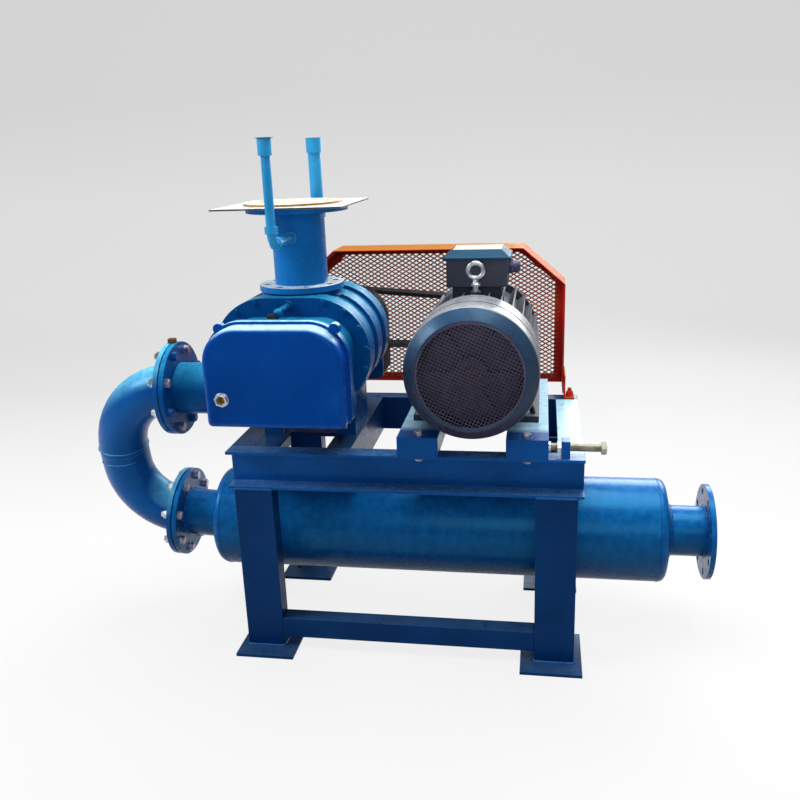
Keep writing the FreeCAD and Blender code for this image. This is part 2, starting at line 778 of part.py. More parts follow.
def case_wire(grow, y):
    """Rounded-box outline of the oil cases, wide radii above and small ones below."""
    half = size("case_half_width") + grow
    top = size("case_top") + grow
    bottom = size("case_bottom") - min(grow, size("case_bottom_lip"))
    wide = size("case_top_radius") + grow
    small = size("case_bottom_radius") + max(grow, -size("case_bottom_radius") / 2)
    corner = math.sqrt(0.5)
    right = axis_x + half
    left = axis_x - half
    edges = []
    edges.append(Part.makeLine(Vector(right, y, bottom + small), Vector(right, y, top - wide)))
    edges.append(Part.Arc(Vector(right, y, top - wide),
                          Vector(right - wide + wide * corner, y, top - wide + wide * corner),
                          Vector(right - wide, y, top)).toShape())
    edges.append(Part.makeLine(Vector(right - wide, y, top), Vector(left + wide, y, top)))
    edges.append(Part.Arc(Vector(left + wide, y, top),
                          Vector(left + wide - wide * corner, y, top - wide + wide * corner),
                          Vector(left, y, top - wide)).toShape())
    edges.append(Part.makeLine(Vector(left, y, top - wide), Vector(left, y, bottom + small)))
    edges.append(Part.Arc(Vector(left, y, bottom + small),
                          Vector(left + small - small * corner, y, bottom + small - small * corner),
                          Vector(left + small, y, bottom)).toShape())
    edges.append(Part.makeLine(Vector(left + small, y, bottom), Vector(right - small, y, bottom)))
    edges.append(Part.Arc(Vector(right - small, y, bottom),
                          Vector(right - small + small * corner, y, bottom + small - small * corner),
                          Vector(right, y, bottom + small)).toShape())
    return Part.Wire(edges)


def shaft_line(side, y, shaft_radius, length):
    """A cylinder on the left (-1) or right (+1) shaft axis."""
    x = axis_x + side * size("shaft_distance") / 2
    return Part.makeCylinder(shaft_radius, length, Vector(x, y, level), Vector(0, 1, 0))


# Cylinder casting: ribbed arches, intake boss, discharge chest with its neck, two long feet

pitch_radius = size("shaft_distance") / 2
roll_radius = pitch_radius / 6
bore_radius = pitch_radius + 2 * roll_radius + size("bore_clearance")
depth = size("cylinder_length")
body = slab(casing_wire(size("casing_radius"), front_y), depth)
end_rib = size("end_rib_width")
middle_rib = size("rib_width")
for rib_y, width in ((front_y, end_rib), (size("blower_y") - middle_rib / 2, middle_rib),
                     (rear_y - end_rib, end_rib)):
    body = body.fuse(slab(casing_wire(size("rib_radius"), rib_y), width))
boss_thick = size("intake_flange_thickness")
boss_top = size("intake_flange_level") + boss_thick
middle = Vector(axis_x, size("blower_y"), 0)
clear = Part.makeCylinder(size("intake_flange_radius") + 3, 60,
                          middle + Vector(0, 0, boss_top - boss_thick))
body = body.cut(clear)
boss = Part.makeCylinder(size("intake_boss_radius"), boss_thick,
                         middle + Vector(0, 0, boss_top - boss_thick))
stem = Part.makeCylinder(size("intake_port_radius") + 18, boss_top - level - 80,
                         middle + Vector(0, 0, level + 80))
neck = Part.makeCylinder(size("neck_radius"), size("discharge_reach") - 60,
                         Vector(neck_face, size("blower_y"), size("discharge_level")),
                         Vector(1, 0, 0))
neck_ring = flange_ring(22.5)
neck_ring.Placement = Placement(Vector(neck_face, size("blower_y"), size("discharge_level")),
                                outlet_axis)
body = body.fuse([boss, stem, neck, neck_ring])
base_left = axis_x - size("base_width") / 2
base_right = axis_x + size("base_width") / 2
base_bottom = size("table_height")
foot_wide = size("base_foot_width")
web_wide = size("base_wall")
web_high = size("chest_level") - base_bottom + 1
feet = []
foot_y = front_y + size("base_setback")
foot_run = rear_y - foot_y
for low_x, web_x in ((base_left, base_left), (base_right - foot_wide, base_right - web_wide)):
    feet.append(Part.makeBox(foot_wide, foot_run, size("base_foot_height"),
                             Vector(low_x, foot_y, base_bottom)))
    feet.append(Part.makeBox(web_wide, foot_run, web_high, Vector(web_x, foot_y, base_bottom)))
setback = size("chest_setback")
step_back = Part.makeBox(size("base_width") + 2, setback, 60,
                         Vector(base_left - 1, front_y, size("chest_level") - 20))
body = body.cut(step_back).fuse(feet)
bores = [shaft_line(side, front_y, bore_radius, depth) for side in (-1, 1)]
port = Part.makeCylinder(size("intake_port_radius"), boss_top - level, middle + Vector(0, 0, level))
chest = Part.makeBox(120, depth - 2 * setback - 36, level - size("chest_level") - 60,
                     Vector(axis_x - 60, front_y + setback + 18, size("chest_level") + 12))
throat = Part.makeCylinder(size("neck_radius") - 10, size("discharge_reach"),
                           Vector(neck_face, size("blower_y"), size("discharge_level")),
                           Vector(1, 0, 0))
body = body.cut(Part.makeCompound([port, chest, throat])).cut(bores[0]).cut(bores[1])
intake_holes = []
for angle in bolt_places(int(size("flange_bolt_count")), 22.5):
    turn = math.radians(angle)
    reach = size("intake_flange_bolt_circle")
    spot = middle + Vector(reach * math.cos(turn), reach * math.sin(turn), boss_top - boss_thick)
    intake_holes.append(Part.makeCylinder(size("bolt_radius"), 60, spot))
intake_holes = Part.makeCompound(intake_holes)
node(shaped("cylinder", body.cut(intake_holes)), "cylinder")

# End plates with the bearing hubs: the gear end has a long neck, the drive end a short one

plate_wall = size("end_plate_thickness")
shaft_hole = size("shaft_radius") + size("running_clearance")
bearing_outer = size("bearing_outer_radius")
bearing_wide = size("bearing_width")
inset = size("neck_inset")
lip = size("case_flange_lip")
case_flange = size("case_flange_thickness")
gear_plate_y = front_y - plate_wall
gear_neck_y = gear_plate_y - size("gear_neck_length")
gear_flange_y = gear_neck_y - case_flange


def plate_outline(y, depth_y, feet_x):
    """The end plate follows the casing's rib line; the drive-end one has feet as well."""
    plate = slab(casing_wire(size("rib_radius"), y), depth_y)
    for low_x in feet_x:
        plate = plate.fuse(Part.makeBox(foot_wide, depth_y, web_high,
                                        Vector(low_x, y, base_bottom)))
    return plate


def hollow_neck(y, depth_y, wall):
    neck_box = slab(case_wire(-inset, y), depth_y)
    return neck_box.cut(slab(case_wire(-inset - wall, y), depth_y))


gear_plate = plate_outline(gear_plate_y, plate_wall, ())
gear_plate = gear_plate.fuse([hollow_neck(gear_neck_y, size("gear_neck_length"), 10),
                              slab(case_wire(lip, gear_flange_y), case_flange)])
for side in (-1, 1):
    gear_plate = gear_plate.fuse(shaft_line(side, gear_flange_y, size("hub_radius"),
                                            gear_plate_y - gear_flange_y))
gear_bearing_y = gear_flange_y + 8
for side in (-1, 1):
    gear_plate = gear_plate.cut(shaft_line(side, gear_flange_y - 1, shaft_hole,
                                           front_y - gear_flange_y + 2))
    gear_plate = gear_plate.cut(shaft_line(side, gear_bearing_y, bearing_outer, bearing_wide))
    gear_plate = gear_plate.cut(shaft_line(side, gear_flange_y - 1, bearing_outer, 9))
node(shaped("gear_end_plate", gear_plate), "gear_end_plate")

drive_neck_y = rear_y + plate_wall
drive_flange_y = drive_neck_y + size("drive_neck_length") - case_flange
drive_case_y = drive_flange_y + case_flange
drive_plate = plate_outline(rear_y, plate_wall, (base_left, base_right - foot_wide))
drive_plate = drive_plate.fuse([slab(case_wire(-inset, drive_neck_y), size("drive_neck_length")),
                                slab(case_wire(lip, drive_flange_y), case_flange)])
drive_bearing_y = drive_case_y + 10 - bearing_wide
for side in (-1, 1):
    drive_plate = drive_plate.fuse(shaft_line(side, drive_case_y, size("hub_radius"), 10))
for side in (-1, 1):
    drive_plate = drive_plate.cut(shaft_line(side, rear_y - 1, shaft_hole,
                                             drive_case_y - rear_y + 12))
    drive_plate = drive_plate.cut(shaft_line(side, drive_bearing_y, bearing_outer,
                                             bearing_wide + 2))
node(shaped("drive_end_plate", drive_plate), "drive_end_plate")

# Oil cases: a cover over the timing gears and one over the drive-end bearings

gear_case_y = gear_flange_y - size("gear_case_depth")
case_wall = size("case_wall")


def oil_case(closed_y, open_y, grow):
    """A cast cover, closed at one end, with a flange at the other, and the hollow inside it."""
    way = 1 if open_y > closed_y else -1
    run = open_y - closed_y
    cover = slab(case_wire(grow, closed_y), run)
    if grow < lip:
        rim = [edge for edge in cover.Edges
               if all(abs(vertex.Y - closed_y) < 0.01 for vertex in edge.Vertexes)]
        cover = cover.makeFillet(size("case_rim_fillet"), rim)
        cover = cover.fuse(slab(case_wire(lip, open_y - way * case_flange), way * case_flange))
    return cover, slab(case_wire(-case_wall, closed_y + way * case_wall), run - way * case_wall)


gear_cover, gear_hollow = oil_case(gear_case_y, gear_flange_y, 0)
boss_reach = size("case_half_width") - 29
for side in (-1, 1):
    lug_at = Vector(axis_x + side * boss_reach + 6, gear_flange_y - 20, size("case_top") - 9)
    gear_cover = gear_cover.fuse(Part.makeCylinder(13, 20, lug_at, Vector(0, 1, 0)))
node(shaped("gear_cover", gear_cover.cut(gear_hollow)), "gear_cover")

drive_case_end = drive_case_y + size("drive_case_depth")
seal_hole = size("seal_radius")
drive_cover, drive_hollow = oil_case(drive_case_end, drive_case_y, lip)
drive_cover = drive_cover.cut(drive_hollow).fuse(shaft_line(-1, drive_case_end, seal_hole + 12, 12))
drive_cover = drive_cover.cut(shaft_line(-1, drive_case_end - case_wall - 1, seal_hole,
                                         case_wall + 14))
node(shaped("drive_end_cover", drive_cover), "drive_end_cover")

# Hex screws round the gear-end plate, seen in the ring between casing and neck

screws = []
for side in (-1, 1):
    for angle in (12, 36, 60, 84, 106):
        turn = math.radians(angle)
        reach = size("plate_screw_circle")
        spot = Vector(axis_x + side * (size("casing_offset") + reach * math.sin(turn)),
                      gear_plate_y, size("casing_level") + reach * math.cos(turn))
        head = hexagon(2 * size("plate_screw_radius"), 6)
        head.Placement = Placement(spot, Rotation(Vector(1, 0, 0), 90))
        screws.append(head)
node(shaped("plate_screws", Part.makeCompound(screws)), "plate_screws")

# Oil sight glass, filler block and breather pipe of the gear case

sight = hexagon(size("sight_width"), size("sight_depth"))
sight = sight.fuse(Part.makeCylinder(size("sight_width") * 0.62, 2))
sight = sight.cut(Part.makeCylinder(size("sight_width") * 0.29, 3,
                                    Vector(0, 0, size("sight_depth") - 3)))
sight_place = Placement(Vector(axis_x + size("sight_x"), gear_case_y, size("sight_level")),
                        Rotation(Vector(1, 0, 0), 90))
node(shaped("oil_sight_glass", sight, sight_place), "oil_sight_glass")

filler_side = size("filler_width")
filler_at = Vector(axis_x - 12, gear_flange_y + case_flange + filler_side / 2 + 1,
                   size("case_top") - inset)
filler = Part.makeBox(filler_side, filler_side, size("filler_height"),
                      Vector(-filler_side / 2, -filler_side / 2, 4))
filler = filler.fuse(Part.makeCylinder(filler_side * 0.45, 4))
node(shaped("oil_filler", filler, Placement(filler_at, Rotation())), "oil_filler")

pipe_level = size("breather_level")
breather = Part.makeCylinder(size("breather_radius") + 5, 8,
                             Vector(axis_x, gear_plate_y - 8, pipe_level), Vector(0, 1, 0))
breather_run = gear_plate_y - filler_at.y
breather = breather.fuse([
    Part.makeCylinder(size("breather_radius"), breather_run,
                      Vector(axis_x, filler_at.y, pipe_level), Vector(0, 1, 0)),
    Part.makeCylinder(size("breather_radius") + 2, 12, Vector(axis_x + 12, filler_at.y, pipe_level),
                      Vector(-1, 0, 0)),
    Part.makeSphere(size("breather_radius") + 2, Vector(axis_x, filler_at.y, pipe_level))])
breather = breather.cut(Part.makeBox(filler_side, filler_side + 2, size("filler_height") + 8,
                                     filler_at + Vector(-filler_side / 2, -filler_side / 2 - 1, 0)))
node(shaped("breather_pipe", breather), "breather_pipe")

# Rotors: three cycloidal lobes each, in mesh, one tip of each pointing along +X

def lobe_point(step, gap):
    """Point of the closed cycloid outline at a rolling angle, moved inwards by a gap."""
    def raw(angle):
        sector = math.floor(angle / (math.pi / 3))
        if sector % 2 == 0:
            reach = pitch_radius + roll_radius
            spin = reach / roll_radius * angle
            return (reach * math.cos(angle) - roll_radius * math.cos(spin),
                    reach * math.sin(angle) - roll_radius * math.sin(spin))
        reach = pitch_radius - roll_radius
        spin = reach / roll_radius * angle
        return (reach * math.cos(angle) + roll_radius * math.cos(spin),
                reach * math.sin(angle) - roll_radius * math.sin(spin))
    near = 1e-4
    x, z = raw(step)
    sector_middle = (math.floor(step / (math.pi / 3)) + 0.5) * math.pi / 3
    way = near if step <= sector_middle else -near
    ahead = raw(step + way)
    along = math.atan2((ahead[1] - z) * way, (ahead[0] - x) * way)
    x += gap * math.cos(along + math.pi / 2)
    z += gap * math.sin(along + math.pi / 2)
    back = -math.pi / 6
    return (x * math.cos(back) - z * math.sin(back), x * math.sin(back) + z * math.cos(back))


def lobed_rotor(x, y, length):
    arcs = []
    per_arc = 10
    gap = size("lobe_gap") / 2
    seams = [lobe_point(k * math.pi / 3 + 1e-6, gap) for k in range(6)]
    for sector in range(6):
        points = [seams[sector]]
        for k in range(1, per_arc):
            points.append(lobe_point((sector + k / per_arc) * math.pi / 3, gap))
        points.append(seams[(sector + 1) % 6])
        curve = Part.BSplineCurve()
        curve.interpolate([Vector(x + px, y, level + pz) for px, pz in points])
        arcs.append(curve.toShape())
    return Part.Face(Part.Wire(arcs)).extrude(Vector(0, length, 0))


rotor_run = depth - 2 * size("end_clearance")
rotor_y = front_y + size("end_clearance")
gear_y = gear_flange_y - 8 - size("gear_width")
shaft_tail = drive_bearing_y + bearing_wide + 8
pulley_width = (size("belt_count") - 1) * size("belt_spacing") + 2 * size("pulley_edge")
pulley_y = size("belt_y") - pulley_width / 2
seat = size("shaft_radius")


def rotor(side, tail_radius, tail_end):
    x = axis_x + side * size("shaft_distance") / 2
    lobes = lobed_rotor(x, rotor_y, rotor_run)
    shaft = shaft_line(side, gear_bearing_y - 8, seat, shaft_tail - gear_bearing_y + 8)
    front = shaft_line(side, gear_y - 4, size("gear_seat_radius"), gear_bearing_y - 8 - gear_y + 4)
    tail = shaft_line(side, shaft_tail, tail_radius, tail_end - shaft_tail)
    return lobes.fuse([shaft, front, tail])


node(shaped("drive_rotor", rotor(-1, size("drive_end_radius"), pulley_y + pulley_width + 5)),
     "drive_rotor")
node(shaped("driven_rotor", rotor(1, size("drive_end_radius"), shaft_tail + 4)), "driven_rotor")

# Timing gears: involute teeth with backlash, one gear turned by half a tooth

def gear_wheel(side, half_step):
    teeth = int(size("gear_teeth"))
    module = 2 * pitch_radius / teeth
    pressure = math.radians(20)
    base = pitch_radius * math.cos(pressure)
    tip = pitch_radius + 0.9 * module
    root = pitch_radius - 1.2 * module
    half_tooth = math.pi / (2 * teeth) - size("gear_backlash") / (4 * pitch_radius)
    involute = math.tan(pressure) - pressure
    points = []
    for tooth in range(teeth):
        middle_angle = 2 * math.pi * (tooth + half_step / 2) / teeth
        flank = []
        for reach in (base + 0.05, pitch_radius, tip):
            slope = math.acos(base / reach)
            spread = half_tooth + involute - (math.tan(slope) - slope)
            flank.append((reach, spread))
        flank.insert(0, (root, flank[0][1]))
        for reach, spread in flank:
            points.append((reach, middle_angle - spread))
        for reach, spread in reversed(flank):
            points.append((reach, middle_angle + spread))
    x = axis_x + side * pitch_radius
    corners = [Vector(x + r * math.cos(a), gear_y, level + r * math.sin(a)) for r, a in points]
    wheel = Part.Face(Part.makePolygon(corners + corners[:1]))
    wheel = wheel.extrude(Vector(0, size("gear_width"), 0))
    return wheel.cut(shaft_line(side, gear_y - 1, size("gear_seat_radius"),
                                size("gear_width") + 2))


node(shaped("drive_gear", gear_wheel(-1, 0)), "drive_gear")
node(shaped("driven_gear", gear_wheel(1, 1)), "driven_gear")

# Bearings in the end plates and the lip seal of the drive shaft

rings = []
for y in (gear_bearing_y, drive_bearing_y):
    for side in (-1, 1):
        ring = shaft_line(side, y, bearing_outer, bearing_wide)
        rings.append(ring.cut(shaft_line(side, y, shaft_hole, bearing_wide)))
seal = shaft_line(-1, drive_case_end, seal_hole, size("seal_width"))
seal = seal.cut(shaft_line(-1, drive_case_end, size("drive_end_radius")
                           + size("running_clearance"), size("seal_width")))
node(shaped("bearings", Part.makeCompound(rings)), "bearings")
node(shaped("shaft_seal", seal), "shaft_seal")

# V-belt pulleys and belts

motor_x = size("motor_x")
motor_level = size("motor_level")
groove_depth = size("belt_height") + 1.5
belt_rise = 3.5


def pulley(x, z, pitch, bore):
    """A grooved wheel revolved about its shaft, half section in radius and width."""
    outer = pitch / 2 + belt_rise
    wide = size("belt_width") / 2
    narrow = wide - groove_depth * math.tan(math.radians(18))
    count = int(size("belt_count"))
    section = [(bore, 0), (outer, 0)]
    for k in range(count):
        middle_y = size("pulley_edge") + k * size("belt_spacing")
        section += [(outer, middle_y - wide), (outer - groove_depth, middle_y - narrow),
                    (outer - groove_depth, middle_y + narrow), (outer, middle_y + wide)]
    section += [(outer, pulley_width), (bore, pulley_width), (bore, 0)]
    points = [Vector(x + r, pulley_y + y, z) for r, y in section]
    return Part.Face(Part.makePolygon(points)).revolve(Vector(x, 0, z), Vector(0, 1, 0), 360)


drive_x = axis_x - pitch_radius
node(shaped("blower_pulley", pulley(drive_x, level, size("blower_pulley_pitch"),
                                    size("drive_end_radius"))), "blower_pulley")
node(shaped("motor_pulley", pulley(motor_x, motor_level, size("motor_pulley_pitch"),
                                   size("motor_shaft_radius"))), "motor_pulley")


def belt_wire(y, offset):
    """Two arcs and their outer tangents round both pulleys."""
    first = size("blower_pulley_pitch") / 2 + offset
    second = size("motor_pulley_pitch") / 2 + offset
    span = math.hypot(motor_x - drive_x, motor_level - level)
    lie = math.atan2(motor_level - level, motor_x - drive_x)
    open_angle = math.acos((first - second) / span)

    def at(cx, cz, reach, angle):
        return Vector(cx + reach * math.cos(angle), y, cz + reach * math.sin(angle))
    first_top = at(drive_x, level, first, lie + open_angle)
    first_low = at(drive_x, level, first, lie - open_angle)
    first_far = at(drive_x, level, first, lie + math.pi)
    second_top = at(motor_x, motor_level, second, lie + open_angle)
    second_low = at(motor_x, motor_level, second, lie - open_angle)
    second_far = at(motor_x, motor_level, second, lie)
    return Part.Wire([Part.makeLine(first_top, second_top),
                      Part.Arc(second_top, second_far, second_low).toShape(),
                      Part.makeLine(second_low, first_low),
                      Part.Arc(first_low, first_far, first_top).toShape()])


def belt(y):
    """One V-belt: a loop with sloping flanks, lofted between its inner and outer outlines."""
    gap = size("belt_clearance")
    half_top = size("belt_width") / 2 - gap
    top = belt_rise - gap
    bottom = top - size("belt_height") + 1
    slope = math.tan(math.radians(18))
    path = belt_wire(y, 0)
    half_low = half_top - (top - bottom) * slope
    edge = path.Edges[0]
    start = edge.Vertexes[0].Point
    along = (edge.Vertexes[1].Point - start).normalize()
    out = Vector(0, 1, 0).cross(along)
    if out.z < 0:
        out = out * -1
    across = Vector(0, 1, 0)
    section = Part.makePolygon([start + out * top - across * half_top,
                                start + out * top + across * half_top,
                                start + out * bottom + across * half_low,
                                start + out * bottom - across * half_low,
                                start + out * top - across * half_top])
    return path.makePipeShell([section], True, False)


belts = []
for k in range(int(size("belt_count"))):
    offset = (k - (size("belt_count") - 1) / 2) * size("belt_spacing")
    belts.append(belt(size("belt_y") + offset))
node(shaped("v_belts", Part.makeCompound(belts)), "v_belts")

# Motor slide rails: channels laid web upwards across the table, with a hole for the tension bolt

rail_parts = []
for side in (-1, 1):
    tag = "motor_rail_%d" % (side + 1)
    left = "motor_x + %d * rail_spacing / 2 - rail_width / 2" % side
    base = "table_height + rail_lift"
    bar = box(tag + "_bar", (left, "-" + half_depth, base), ("rail_width", "table_depth",
                                                             "rail_height"))
    hollow = box(tag + "_hollow", (left + " + flange_wall", "-%s - 1" % half_depth, base),
                 ("rail_width - 2 * flange_wall", "table_depth + 2", "rail_height - beam_web"))
    tools = [hollow]
    for end in (-1, 1):
        tools.append(rod("%s_bolt_%d" % (tag, end + 1), "rail_bolt_radius", "rail_height + 10",
                         ("motor_x + %d * rail_spacing / 2" % side,
                          "%d * (table_depth / 2 - beam_flange / 2)" % end, base)))
        foot_y = "motor_foot_rear" if end > 0 else "motor_foot_rear - motor_foot_pitch"
        tools.append(rod("%s_foot_%d" % (tag, end + 1), "rail_bolt_radius", "rail_height + 10",
                         ("motor_x + %d * motor_foot_spacing / 2" % side, foot_y, base)))
    if side > 0:
        tools.append(rod("tension_hole", "tension_radius + 0.3", "rail_width",
                         ("motor_x + rail_spacing / 2", "tension_y", "table_height + tension_level"),
                         ALONG_X))
    rail_parts.append(cut(tag, bar, tools))
node(group("motor_rails", rail_parts), "motor_rails")

# Bolts: rails to the table's slotted beams, motor feet to the rails

rail_base = size("table_height") + size("rail_lift")
rail_top = rail_base + size("rail_height")
fasteners = []
hold = size("rail_bolt_radius")
for side in (-1, 1):
    for end in (-1, 1):
        x = motor_x + side * size("rail_spacing") / 2
        y = end * (size("table_depth") / 2 - size("beam_flange") / 2)
        under_flange = size("table_height") - size("flange_wall")
        clamp_screw = screw(hold, rail_top - under_flange + 0.1, 19, 8, 10)
        clamp_screw.Placement = Placement(Vector(x, y, rail_top), Rotation(Vector(1, 0, 0), 180))
        fasteners.append(clamp_screw)
        x = motor_x + side * size("motor_foot_spacing") / 2
        y = size("motor_foot_rear") - (0 if end > 0 else size("motor_foot_pitch"))
        foot_top = rail_top + size("motor_foot_thickness")
        foot_screw = screw(hold, size("motor_foot_thickness") + size("beam_web"), 19, 8, 10)
        foot_screw.Placement = Placement(Vector(x, y, foot_top), Rotation(Vector(1, 0, 0), 180))
        fasteners.append(foot_screw)
node(shaped("rail_bolts", Part.makeCompound(fasteners)), "rail_bolts")

# Motor frame: finned barrel with two long feet

def motor_line(y, line_radius, length):
    return Part.makeCylinder(line_radius, length, Vector(motor_x, y, motor_level), Vector(0, 1, 0))


frame_y = size("cowl_rear")
frame_run = size("frame_rear") - frame_y
barrel = motor_line(frame_y, size("frame_radius"), frame_run)
fins = []
for k in range(int(size("fin_count"))):
    angle = 360.0 * (k + 0.5) / size("fin_count")
    fin = Part.makeBox(size("fin_radius") - size("frame_radius") + 6, frame_run - 16,
                       size("fin_thickness"),
                       Vector(size("frame_radius") - 6, frame_y + 8, -size("fin_thickness") / 2))
    fin.Placement = Placement(Vector(motor_x, 0, motor_level), Rotation(Vector(0, 1, 0), -angle))
    fins.append(fin)
barrel = barrel.fuse(fins)
foot_reach = size("motor_foot_pitch") + 46
foot_start = size("motor_foot_rear") - size("motor_foot_pitch") - 23
foot_thick = size("motor_foot_thickness")
parts = []
for side in (-1, 1):
    x = motor_x + side * size("motor_foot_spacing") / 2
    parts.append(Part.makeBox(size("motor_foot_width"), foot_reach, foot_thick,
                              Vector(x - size("motor_foot_width") / 2, foot_start, rail_top)))
    for y in (frame_y + 2, foot_start + foot_reach - 24):
        low = [Vector(x - side * 31, y, rail_top + 4), Vector(x + side * 22, y, rail_top + 4),
               Vector(x + side * 22, y, rail_top + foot_thick + 6),
               Vector(x - side * 20, y, motor_level - 40),
               Vector(x - side * 60, y, motor_level - 40)]
        parts.append(Part.Face(Part.makePolygon(low + low[:1])).extrude(Vector(0, 20, 0)))
neck_half = size("box_width") / 2 - 14
box_front = size("box_y") - size("box_depth") / 2
parts.append(Part.makeBox(2 * neck_half, size("box_depth") - 20,
                          size("box_bottom") - motor_level - 100,
                          Vector(motor_x - neck_half, box_front + 10, motor_level + 100)))
boss_level = motor_level + size("fin_radius") + 8
parts.append(Part.makeCylinder(13, boss_level - motor_level - 110,
                               Vector(motor_x, size("eyebolt_y"), motor_level + 110)))
barrel = barrel.fuse(parts).cut(motor_line(frame_y - 1, size("frame_bore"), frame_run + 2))
foot_holes = []
for side in (-1, 1):
    for y in (size("motor_foot_rear"), size("motor_foot_rear") - size("motor_foot_pitch")):
        spot = Vector(motor_x + side * size("motor_foot_spacing") / 2, y, rail_top)
        foot_holes.append(Part.makeCylinder(hold, foot_thick, spot))
        foot_holes.append(Part.makeCylinder(14, 60, spot + Vector(0, 0, foot_thick)))
node(shaped("motor_frame", barrel.cut(Part.makeCompound(foot_holes))), "motor_frame")

# End shields, one at each end of the frame

shaft_gap = size("motor_shaft_radius") + size("running_clearance")
shoulder = size("shoulder_y")
front_shield = motor_line(frame_y - 14, size("cowl_radius") - size("cowl_wall") - 0.5, 14)
front_shield = front_shield.cut(motor_line(frame_y - 15, shaft_gap, 16))
rear_shield = motor_line(size("frame_rear"), size("frame_radius") + 20, 16)
rear_shield = rear_shield.fuse(Part.makeCone(size("frame_radius") + 6, 62,
                                             shoulder - size("frame_rear") - 16,
                                             Vector(motor_x, size("frame_rear") + 16, motor_level),
                                             Vector(0, 1, 0)))
rear_shield = rear_shield.cut(motor_line(size("frame_rear") - 1, shaft_gap,
                                         shoulder - size("frame_rear") + 2))
node(shaped("end_shields", Part.makeCompound([front_shield, rear_shield])), "end_shields")

# Fan cowl with a bevelled nose and a square-holed grille turned by 45 degrees

cowl_y = size("cowl_front")
bevel = size("cowl_bevel")
skin = size("cowl_wall")
cowl_run = frame_y - cowl_y
seam = size("cowl_seam")
profile = [(size("grille_radius"), 0), (size("grille_radius") + 4, 0), (size("cowl_radius"), bevel),
           (size("cowl_radius"), seam - skin / 2), (size("cowl_radius") - skin / 2, seam),
           (size("cowl_radius"), seam + skin / 2),
           (size("cowl_radius"), cowl_run), (size("cowl_radius") - skin, cowl_run),
           (size("cowl_radius") - skin, bevel + skin), (size("grille_radius"), skin + 4),
           (0, skin + 4), (0, 4), (size("grille_radius"), 4), (size("grille_radius"), 0)]
points = [Vector(motor_x + r, cowl_y + y, motor_level) for r, y in profile]
cowl = Part.Face(Part.makePolygon(points)).revolve(Vector(motor_x, 0, motor_level),
                                                   Vector(0, 1, 0), 360)
openings = []
pitch = size("grille_pitch")
hole = pitch - size("grille_bar")
reach = int(size("grille_radius") / pitch) + 1
for row in range(-reach, reach + 1):
    for column in range(-reach, reach + 1):
        middle_x = row * pitch
        middle_z = column * pitch
        if math.hypot(middle_x, middle_z) + hole * 0.71 < size("grille_radius") - 4:
            openings.append(Part.makeBox(hole, skin + 2, hole,
                                         Vector(middle_x - hole / 2, cowl_y + 3,
                                                middle_z - hole / 2)))
openings = Part.makeCompound(openings)
openings.Placement = Placement(Vector(motor_x, 0, motor_level), Rotation(Vector(0, 1, 0), 45))
node(shaped("fan_cowl", cowl.cut(openings)), "fan_cowl")

# Stator, rotor with its shaft, and the fan

core_y = (frame_y + size("frame_rear")) / 2 - size("core_length") / 2
stator = motor_line(core_y, size("frame_bore"), size("core_length"))
windings = motor_line(core_y - 28, size("frame_bore") - 12, size("core_length") + 56)
stator = stator.fuse(windings)
stator = stator.cut(motor_line(core_y - 30, size("rotor_core_radius") + size("air_gap"),
                               size("core_length") + 60))
node(shaped("stator", stator), "stator")

fan_y = cowl_y + 32
motor_shaft = motor_line(fan_y, size("motor_shaft_radius"),
                         shoulder + size("motor_shaft_length") - fan_y)
motor_shaft = motor_shaft.fuse(motor_line(core_y, size("rotor_core_radius"), size("core_length")))
node(shaped("motor_shaft", motor_shaft), "motor_shaft")

fan = motor_line(fan_y, 38, size("fan_width"))
fan = fan.fuse(motor_line(fan_y + size("fan_width") - 4, size("fan_radius"), 4))
for k in range(int(size("fan_blades"))):
    blade = Part.makeBox(size("fan_radius") - 32, size("fan_width") - 2, 4,
                         Vector(30, fan_y + 1, -2))
    blade.Placement = Placement(Vector(motor_x, 0, motor_level),
                                Rotation(Vector(0, 1, 0), 360.0 * k / size("fan_blades")))
    fan = fan.fuse(blade)
fan = fan.cut(motor_line(fan_y - 1, size("motor_shaft_radius"), size("fan_width") + 2))
node(shaped("motor_fan", fan), "motor_fan")

# Terminal box, its bevelled lid and a cable gland

box_low = Vector(motor_x - size("box_width") / 2, box_front, size("box_bottom"))
shell = Part.makeBox(size("box_width"), size("box_depth"), size("box_height"), box_low)
shell = shell.cut(Part.makeBox(size("box_width") - 12, size("box_depth") - 12,
                               size("box_height") - 6, box_low + Vector(6, 6, 6)))
node(shaped("terminal_box", shell), "terminal_box")

lip_out = size("lid_lip")
lid_base = size("box_bottom") + size("box_height")
low_rim = Part.makeBox(size("box_width") + 2 * lip_out, size("box_depth") + 2 * lip_out, 6,
                       Vector(box_low.x - lip_out, box_low.y - lip_out, lid_base))


def lid_wire(shrink, z):
    x = box_low.x - lip_out + shrink
    y = box_low.y - lip_out + shrink
    x_far = box_low.x + size("box_width") + lip_out - shrink
    y_far = box_low.y + size("box_depth") + lip_out - shrink
    return Part.makePolygon([Vector(x, y, z), Vector(x_far, y, z), Vector(x_far, y_far, z),
                             Vector(x, y_far, z), Vector(x, y, z)])


crown = Part.makeLoft([lid_wire(3, lid_base + 6), lid_wire(24, lid_base + size("lid_height"))],
                      True, True)
node(shaped("terminal_lid", low_rim.fuse(crown)), "terminal_lid")

gland_z = size("box_bottom") + size("box_height") * 0.62
gland = hexagon(1.8 * size("gland_radius"), 0.4 * size("gland_length"))
gland = gland.fuse(Part.makeCylinder(0.8 * size("gland_radius"), size("gland_length")))
gland = gland.cut(Part.makeCylinder(0.4 * size("gland_radius"), size("gland_length")))
gland_place = Placement(Vector(motor_x + size("box_width") / 2, size("box_y"), gland_z),
                        Rotation(Vector(0, 1, 0), 90))
node(shaped("cable_gland", gland, gland_place), "cable_gland")

# Eyebolt on the frame's top boss

